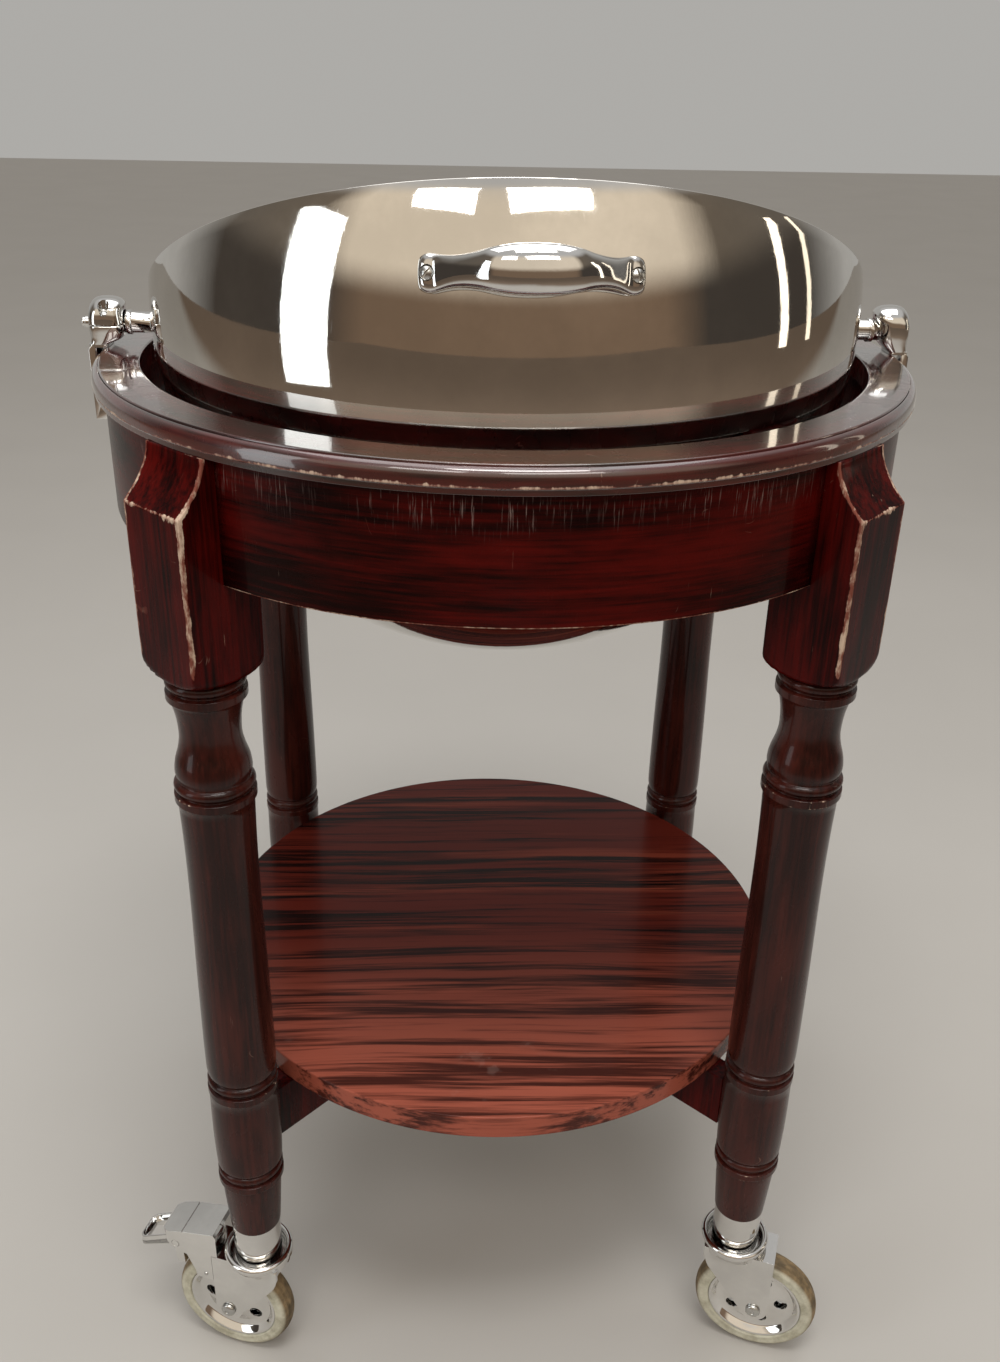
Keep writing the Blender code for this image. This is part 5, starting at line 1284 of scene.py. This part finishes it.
# %% Pan, deck and burner
PAN_TOP = 0.9855
FLANGE_LOW = PAN_TOP - 0.002
FLANGE_RADIUS = 0.2770
DECK_RADIUS = 0.2680
DECK_LOW = PAN_TOP + GAP
DECK_TOP = PAN_TOP + 0.0043
DECK_RIM = DECK_TOP + 0.004
GROOVE = DECK_TOP - 0.0018

wall = [(0, 0.903), (0.2450, 0.903, 0.010), (0.2610, 0.920, 0.020), (0.2615, FLANGE_LOW, 0.0006)]
wall += [(FLANGE_RADIUS, FLANGE_LOW, 0.0009), (FLANGE_RADIUS, PAN_TOP, 0.0009), (0.2595, PAN_TOP, 0.0012)]
wall += [(0.2590, 0.921, 0.020), (0.2440, 0.905, 0.010), (0, 0.905)]
pan = turned("water_pan_spun", eased(wall, 0.001, segments=5), 128, SATIN)
shown(pan, "frame", "satin_steel", "water_pan")

deck = [(0, DECK_LOW), (DECK_RADIUS, DECK_LOW, 0.0012), (DECK_RADIUS, DECK_RIM, 0.0012)]
deck += [(DECK_RADIUS - 0.0040, DECK_RIM, 0.0012), (0.2615, DECK_TOP, 0.002), (0.2120, DECK_TOP, 0.0015)]
deck += [(0.2095, GROOVE, 0.0015), (0.2025, GROOVE, 0.0015), (0.2000, DECK_TOP, 0.0015), (0, DECK_TOP)]
deck = turned("carving_deck_plate", eased(deck, 0.001), 128, SATIN)
shown(deck, "deck", "satin_steel", "carving_deck")
for node in ("pan_hanger_left", "pan_hanger_right", "burner_cradle"):
    piece = eased_copy("satin_" + node, node, 0.0008, SATIN)
    shown(piece, "frame", "satin_steel", node)
shown(eased_copy("brass_burner", "burner", 0.0009, BRASS, 3), "frame", "burner_brass", "burner")
print("pan, deck, hangers, cradle and burner")

# %% [markdown]
# ## The casters
# Each caster is a chromed socket on the leg's foot, a fork with a rolled cup that swivels on it, and a pressed wheel
# in a grey tyre. All four are made once about their own axis and copied into place, each turned to its heading. The
# fork is drawn from one sheet, so it is made of three parts that flow together: two plates, the skirt that spreads
# above them into a round, and the turned cup.

# %% Socket pattern
WHEEL_RADIUS = 0.0625
CROWN = 0.1365
TRAIL = 0.030
SMOOTH_STEPS = 56
SLEEVE = 0.0235
SOCKET = 0.0203

sleeve = [(0, 0.1272), (0.0100, 0.1272), (0.0100, 0.1312), (0.0065, 0.1312), (0.0065, CROWN + GAP)]
sleeve += [(SLEEVE, CROWN + GAP), (SLEEVE, FOOT_HEIGHT - GAP), (SOCKET, FOOT_HEIGHT - GAP)]
sleeve += [(SOCKET, 0.1518), (0, 0.1518)]
socket = turned("socket_pattern", eased(sleeve, 0.0006), SMOOTH_STEPS, CHROME)
print("socket:", len(socket.data.polygons), "faces")

# %% Fork sizes
FORK_OUTER = 0.0195
FORK_INNER = 0.0165
FORK_END = 0.044
FORK_ROOF = CROWN - 0.0062
CUP_FLOOR = CROWN - 0.0038
AXLE_HOLE = 0.0043

# height, reach forward, reach back, half width, squareness of the skirt between cup and plates
SKIRT = [
    (CROWN + 0.0045, 0.0300, 0.0300, 0.0300, 2.0),
    (CROWN + 0.0010, 0.0302, 0.0300, 0.0288, 2.1),
    (CROWN - 0.0040, 0.0300, 0.0296, 0.0258, 2.4),
    (CROWN - 0.0095, 0.0292, 0.0288, 0.0226, 3.0),
    (CROWN - 0.0150, 0.0278, 0.0276, 0.0204, 4.5),
    (CROWN - 0.0205, 0.0258, 0.0262, 0.01956, 8.0),
    (CROWN - 0.0270, 0.0228, 0.0250, 0.01952, 12.0),
]
print("a skirt of", len(SKIRT), "sections between cup and plates")

# %% Tools for drilling and milling
def rod(radius, low, high, steps, axis="Z", place=Matrix()):
    """A plain round tool for drilling."""
    return turned("rod", [(0, low), (radius, low), (radius, high), (0, high)], steps, CHROME, axis, place)


def between_plates():
    """The space that the wheel runs in."""
    return block("space", (-0.06, -FORK_INNER, 0), (0.06, FORK_INNER, FORK_ROOF))


def both_sides(half):
    """An outline from its upper half, mirrored about the middle plane."""
    return [(p[0], -p[1], *p[2:]) for p in half] + half[::-1]


print("the plates stand", 2 * FORK_INNER, "m apart")

# %% Fork and axle patterns
def fork_pattern():
    outline = [(-0.0275, CROWN - 0.0006), (-0.0275, CROWN - 0.0120), (-0.0215, CROWN - 0.0270)]
    outline += arc((TRAIL, WHEEL_RADIUS), 0.014, 197, 360, 18)
    outline += [(FORK_END, CROWN - 0.0006)]
    fork = plate("fork", outline, -FORK_OUTER, FORK_OUTER, "Y", CHROME)
    hub = Matrix.Translation((TRAIL, 0, WHEEL_RADIUS))
    cut(fork, between_plates(), rod(0.0103, 0, 0.2, 32), rod(0.0281, CUP_FLOOR, 0.16, SMOOTH_STEPS))
    cut(fork, rod(AXLE_HOLE, -0.03, 0.03, 24, "Y", hub))
    bevelled(fork, 0.0007)
    rows = []
    for height, front, back, half, power in flowing(SKIRT, 3):
        ring = rounded_row(1, 1, power, 72)
        rows.append([(front * a if a < 0 else back * a, half * b, height) for a, b in ring])
    skirt = cut(lofted("skirt", rows, CHROME), between_plates(), rod(0.0270, CUP_FLOOR, 0.16, SMOOTH_STEPS))
    crisp(skirt, 45)
    cup_top = CROWN + 0.012
    cup = [(0.0068, CROWN - 0.005), (0.0240, CROWN - 0.005, 0.004), (0.0304, CROWN + 0.0005, 0.004)]
    cup += unrounded(arc((0.0305, cup_top - 0.0035), 0.0035, -85, 100, 14))
    cup += [(0.0275, cup_top - 0.0030, 0.0), (0.0268, CROWN + 0.002, 0.002), (0.0245, CROWN, 0.002), (0.0068, CROWN)]
    cup = turned("cup", eased(cup, 0.001, True), SMOOTH_STEPS, CHROME)
    return joined("fork_pattern", [fork, skirt, cup])


def axle_pattern():
    grip, end = 0.0198, 0.0242
    shoulder = grip + 0.0012
    half = [(0.004, grip), (0.0076, grip, 0.0003), (0.0076, shoulder, 0.0006)]
    for angle in (0.3, 0.6, 0.9, 1.15):
        half.append((0.0076 * math.cos(angle), shoulder + (end - shoulder) * math.sin(angle), 0.0))
    half += [(0.0021, end - 0.0001, 0.0003), (0.0016, end - 0.0009, 0.0003), (0, end - 0.0009)]
    return turned("axle_pattern", eased(both_sides(half[::-1]), 0.0003), 36, SATIN, "Y")


fork_shape, axle_shape = fork_pattern(), axle_pattern()
print("fork:", len(fork_shape.data.polygons), "faces")

# %% Wheel and tyre patterns
HOLES = 5
HOLE_RADIUS = 0.0068
HOLE_CIRCLE = 0.0270


def around(count, radius):
    """Places of a ring of things about the wheel's axis."""
    angles = [2 * math.pi * step / count for step in range(count)]
    return [((radius * math.cos(angle), 0, radius * math.sin(angle)), (0, 1, 0), 0.0) for angle in angles]


def wheel_pattern():
    """Two pressed dishes back to back, hollow between, with round holes through both."""
    half = [(AXLE_HOLE, 0.0155), (0.0086, 0.0155, 0.0010), (0.0104, 0.0105, 0.0024), (0.0128, 0.0068, 0.0024)]
    half += [(0.0180, 0.0052, 0.004), (0.0340, 0.0036, 0.006), (0.0398, 0.0052, 0.004), (0.0436, 0.0096, 0.0020)]
    half += [(0.0450, 0.0109, 0.0008), (0.0475, 0.0110, 0.0005)]
    wheel = turned("wheel_pattern", eased(both_sides(half), 0.0004, True, 4), 80, CHROME, "Y")
    hollow = [(0.0095, 0.0090), (0.0140, 0.0050), (0.0180, 0.0042), (0.0340, 0.0026), (0.0392, 0.0042)]
    hollow = both_sides(hollow + [(0.0428, 0.0085), (0.0440, 0.0085)]) + [(0.0095, -0.0090)]
    drill = rod(HOLE_RADIUS, -0.0150, 0.0150, 28)
    cut(wheel, turned("hollow", hollow, 80, CHROME, "Y"))
    cut(wheel, set_out("drills", drill, CHROME, around(HOLES, HOLE_CIRCLE)))
    discard(drill)
    return crisp(wheel, 38)


def tyre_pattern():
    """A ribbed wall and a tread with fine grooves. The tread's points are marked for the rubber's finish."""
    edge = [(0.0478, 0.0110, 0.0006), (0.0486, 0.0121, 0.0004)]
    wall = [(0.0500, 0.0125), (0.0509, 0.0120), (0.0518, 0.0125), (0.0527, 0.0120), (0.0536, 0.0125)]
    shoulder = [(0.0560, 0.0124), (0.0583, 0.0114), (0.0602, 0.0092)]
    tread = [(0.0613, 0.0068), (0.0617, 0.0056), (0.0611, 0.0050), (0.0620, 0.0042), (0.0613, 0.0034)]
    half = edge + unrounded(wall + shoulder + tread + [(WHEEL_RADIUS, 0.0024)])
    tyre = turned("tyre_pattern", eased(both_sides(half), 0.0004, True), 96, RUBBER, "Y")
    radii = np.hypot(*points_of(tyre.data)[:, (0, 2)].T)
    marked(tyre.data, "tread", np.clip((radii - 0.0578) / 0.0024, 0, 1))
    return tyre


wheel_shape, tyre_shape = wheel_pattern(), tyre_pattern()
print("wheel:", len(wheel_shape.data.polygons), "faces")

# %% [markdown]
# ## The foot brake
# Two of the casters have a brake: a chromed housing outboard of the fork, and a pedal in the shape of a frame that
# turns on a pin and presses its shoe on the tyre. The housing is cut the way that a pressing is drawn: its outline
# from above and its outline from the side are both kept, which rounds the nose in plan, and the inside is taken out.

# %% Housing and pedal patterns
BRAKE_TOP = CROWN + 0.030
NOSE_TOP = CROWN + 0.017
NOSE = 0.101
HINGE = (0.084, 0, CROWN + 0.0035)
HOUSING_BACK = 0.0375
NOSE_CORNER = 0.0125


def housing_pattern():
    side_view = [(HOUSING_BACK, CROWN - 0.0017), (HOUSING_BACK, BRAKE_TOP - 0.003), (0.0398, BRAKE_TOP)]
    side_view += [(0.074, BRAKE_TOP - 0.0062), (0.0742, BRAKE_TOP - 0.0072), (0.0752, BRAKE_TOP - 0.0073)]
    side_view += [(0.0755, BRAKE_TOP - 0.0064), (NOSE - 0.006, NOSE_TOP + 0.0006)]
    side_view += arc((NOSE - 0.0050, NOSE_TOP - 0.0045), 0.0050, 80, 0, 6)
    side_view += [(NOSE - 0.002, NOSE_TOP - 0.0095), (0.088, CROWN - 0.0027), (0.072, CROWN - 0.0080)]
    side_view += arc((0.0585, CROWN - 0.0310), 0.0050, 20, -90, 5)
    side_view += [(0.0443, CROWN - 0.0360), (0.0443, CROWN - 0.0017)]
    housing = plate("housing", side_view, -FORK_OUTER, FORK_OUTER, "Y", CHROME)
    corner = arc((NOSE - NOSE_CORNER, 0.0068), NOSE_CORNER, 80, 12, 8)
    plan = [(HOUSING_BACK, -FORK_OUTER), (HOUSING_BACK, FORK_OUTER), (0.088, FORK_OUTER)]
    plan += corner + [(x, -y) for x, y in corner[::-1]] + [(0.088, -FORK_OUTER)]
    carved(housing, "INTERSECT", plate("plan", plan, 0, 0.3, "Z", CHROME))
    space = block("space", (0.0440, -FORK_INNER, 0), (NOSE + 0.01, FORK_INNER, CROWN + 0.0120))
    cut(housing, space, rod(AXLE_HOLE, -0.03, 0.03, 24, "Y", Matrix.Translation(HINGE)))
    bevelled(housing, 0.0010, 3, 28)
    dome = [(0, -0.001), (0.0022, -0.001), (0.0022, 0.0002), (0.0016, 0.0009), (0, 0.0011)]
    rivet = turned("rivet", dome, 20, SATIN)
    places = [((0.0520, side * FORK_OUTER, CROWN - 0.0290), (0, side, 0), 0.0) for side in (-1, 1)]
    rivets = set_out("rivets", rivet, SATIN, places)
    discard(rivet)
    return joined("housing_pattern", [housing, rivets])


def pedal_pattern():
    """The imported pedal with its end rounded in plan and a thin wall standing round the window."""
    reach, half, turn, wall, start = 0.1299, 0.0154, 0.008, 0.0018, 0.0895
    end = arc((reach - turn, -half + turn), turn, -90, 0, 6) + arc((reach - turn, half - turn), turn, 0, 90, 6)
    inside = [(x - wall, y * (1 - wall / half)) for x, y in end[::-1]]
    pedal = eased_copy("pedal", "brake_pedal_front_left", 0.0010, CHROME, 3)
    pedal.data.transform(leg_place("front_left", HEADINGS["front_left"]).inverted())
    plan = [(0.07, -0.03), (start, -0.03), (start, -half)] + end + [(start, half), (start, 0.03), (0.07, 0.03)]
    carved(pedal, "INTERSECT", plate("plan", plan, 0.05, 0.2, "Z", CHROME))
    loop = [(start, -half)] + end + [(start, half), (start, half - wall)] + inside + [(start, -half + wall)]
    rim = plate("rim", loop, 0.10, 0.16, "Z", CHROME)
    side_view = [(start, 0.1330), (reach + 0.001, 0.1168), (reach + 0.001, 0.1272), (start, 0.1464)]
    carved(rim, "INTERSECT", plate("side", side_view, -0.03, 0.03, "Y", CHROME))
    return joined("pedal_pattern", [pedal, bevelled(rim, 0.0005)])


print("housing and pedal can be made")

# %% Casters in place
HEADINGS = {"front_right": -20.5, "back_right": 12.0, "back_left": 80.0, "front_left": 160.3}

for corner, heading in HEADINGS.items():
    place = leg_place(corner, heading)
    hub = place @ Matrix.Translation((TRAIL, 0, WHEEL_RADIUS))
    shown(placed(socket, "chrome_socket_" + corner, place), "frame", "chrome", "caster_socket_" + corner)
    shown(placed(fork_shape, "chrome_fork_" + corner, place), "caster_" + corner, "chrome", "fork_" + corner)
    shown(placed(axle_shape, "steel_axle_" + corner, hub), "caster_" + corner, "satin_steel", "axle_" + corner)
    shown(placed(wheel_shape, "pressed_wheel_" + corner, hub), "wheel_body_" + corner, "chrome", "wheel_" + corner)
    shown(placed(tyre_shape, "rubber_tyre_" + corner, hub), "wheel_body_" + corner, "grey_rubber", "tyre_" + corner)
discard(socket, fork_shape, axle_shape, wheel_shape, tyre_shape)
housing_shape, pedal_shape = housing_pattern(), pedal_pattern()
for corner in ("front_left", "back_right"):
    place = leg_place(corner, HEADINGS[corner])
    housing = placed(housing_shape, "chrome_housing_" + corner, place)
    shown(housing, "caster_" + corner, "chrome", "brake_housing_" + corner)
    pedal = placed(pedal_shape, "chrome_pedal_" + corner, place)
    shown(pedal, "pedal_" + corner, "chrome", "brake_pedal_" + corner)
discard(housing_shape, pedal_shape)
print("four casters, two of them with a brake")

# %% [markdown]
# ## Floor, light and camera
# The floor is plain and pale, and far behind the camera a browner carpet tone darkened as painted shade. Polished
# metal shows whatever is round it, so most of the look of the lid comes from the lamps: long soft panels give it its
# bright strips, and the plain world fills the rest. The world is made of blends instead of a picture of a room: one
# tone for each direction, and another for each height.

# %% Floor
# the third floor colour is a browner carpet tone, darkened as painted shade
FLOOR_PALE, FLOOR_PALER, FLOOR_BROWN_PAINTED_SHADE = (0.50, 0.485, 0.46), (0.54, 0.525, 0.50), (0.26, 0.20, 0.155)
FLOOR_HALF = 14


def floor_finish():
    """A pale floor; behind the camera, where only the lid shows it, a browner carpet tone with painted shade."""
    f = Finish("pale_floor", {"Roughness": 1.0, "Specular IOR Level": 0.05})
    x, y, z = f.parts(f.point)
    # painted shade: far behind the camera the floor turns browner and darker
    away = f.rise(x.sum("ABSOLUTE") * 0.8 - y, 1.7, 3.0)
    f.feed("Base Color", f.mix(away, f.mix(f.noise(2.5), FLOOR_PALE, FLOOR_PALER), FLOOR_BROWN_PAINTED_SHADE))
    return f.material


square = [(-FLOOR_HALF, -FLOOR_HALF), (FLOOR_HALF, -FLOOR_HALF), (FLOOR_HALF, FLOOR_HALF), (-FLOOR_HALF, FLOOR_HALF)]
floor = plate("studio_floor", square, -0.02, 0, "Z", floor_finish())
print("a plain floor,", 2 * FLOOR_HALF, "m across")

# %% Light
AIM = Vector((0, 0, 1.0))
DISTANCE = 2.6


def panel(name, heading, rise, size, brightness, colour=(1, 1, 1)):
    """A soft panel that faces the lid, by its heading and its rise in degrees. Heading 0 is the camera's side."""
    heading, rise = math.radians(heading), math.radians(rise)
    way = Vector((math.sin(heading) * math.cos(rise), -math.cos(heading) * math.cos(rise), math.sin(rise)))
    lamp = bpy.data.lights.new(name, "AREA")
    lamp.shape = "RECTANGLE"
    lamp.size, lamp.size_y = size
    lamp.energy = brightness * math.pi * size[0] * size[1]
    lamp.color = colour
    thing = linked(name, lamp)
    thing.visible_camera = False
    turn = way.to_track_quat("Z", "Y").to_matrix().to_4x4()
    thing.matrix_world = Matrix.Translation(AIM + way * DISTANCE) @ turn


panel("tall_panel_left", -62, 7, (0.72, 2.0), 2.4, (0.93, 0.98, 1.0))
panel("high_panel_left", -24, 39, (0.75, 0.42), 6.0, (1.0, 0.98, 0.94))
panel("high_panel_right", 11, 40, (1.0, 0.42), 6.0, (1.0, 0.96, 0.90))
panel("top_panel", 4, 65, (1.2, 0.6), 13.0, (1.0, 0.97, 0.93))
panel("thin_panel_right", 85, 8, (0.16, 1.3), 2.5, (1.0, 0.90, 0.74))
panel("thin_panel_far_right", 97, 8, (0.10, 1.3), 1.6, (1.0, 0.88, 0.70))
panel("ceiling_panel", 180, 86, (3.0, 2.0), 1.95)
print("seven panels")

# %% World
PALE, DIM, WARM = (0.42, 0.41, 0.39), (0.060, 0.050, 0.042), (0.20, 0.135, 0.090)
CREAM, UPPER_DIM, UPPER_DIMMER = (0.80, 0.69, 0.55), (0.16, 0.13, 0.10), (0.14, 0.12, 0.10)
CEILING = (0.55, 0.54, 0.53)
HARDLY = 0.0001

world = bpy.data.worlds.new("studio")
bpy.context.scene.world = world
world.use_nodes = True
sky = Tree(world.node_tree)
background = world.node_tree.nodes["Background"]
east, north, tilt = sky.parts(sky.node("ShaderNodeTexCoord", out="Generated"))
northward = north / ((east * east + north * north).sum("SQRT") + HARDLY) * 0.5 + 0.5


def round_the_room(*stops):
    """A tone for each direction, from 0 on the camera's side to 1 behind the trolley."""
    return sky.node("ShaderNodeValToRGB", {"stops": stops}, {0: northward})


walls = round_the_room((0.0, WARM), (0.15, WARM), (0.25, DIM), (0.60, DIM), (0.80, PALE), (1.0, PALE))
upper = round_the_room((0.0, CREAM), (0.20, CREAM), (0.30, UPPER_DIM), (0.60, UPPER_DIMMER), (0.80, PALE), (1.0, PALE))
tone = sky.mix(sky.rise(tilt, 0.60, 0.80), sky.mix(sky.rise(tilt, 0.16, 0.34), walls, upper), CEILING)
world.node_tree.links.new(tone.socket, background.inputs["Color"])
print("a plain sky of", len(world.node_tree.nodes), "nodes")

# %% [markdown]
# ## Camera
# The camera stands where the photograph was taken from, a little to the left, looking down and slightly rolled. Its
# place and its lens were found by fitting the ring, the pivots and the lid, and its three angles turn into the three
# axes of its matrix.

# %% Camera
YAW, PITCH, ROLL = math.radians(3.51), math.radians(26.72), math.radians(1.32)
EYE = (-0.0675, -1.143, 1.237)
LENS = 33.55
SENSOR = 36

forward = Vector((math.sin(YAW) * math.cos(PITCH), math.cos(YAW) * math.cos(PITCH), -math.sin(PITCH)))
level = Vector((math.cos(YAW), -math.sin(YAW), 0))
upright = level.cross(forward)
right = level * math.cos(ROLL) + upright * math.sin(ROLL)
up = upright * math.cos(ROLL) - level * math.sin(ROLL)
camera = bpy.data.cameras.new("camera")
camera.lens = LENS
camera.sensor_width = SENSOR
camera.sensor_fit = "AUTO"
eye = linked("camera", camera)
turn = Matrix((right, up, -forward)).transposed().to_4x4()
eye.matrix_world = Matrix.Translation(EYE) @ turn
bpy.context.scene.camera = eye
bpy.context.scene.view_settings.view_transform = "Standard"
print("camera at", tuple(round(value, 3) for value in eye.location))
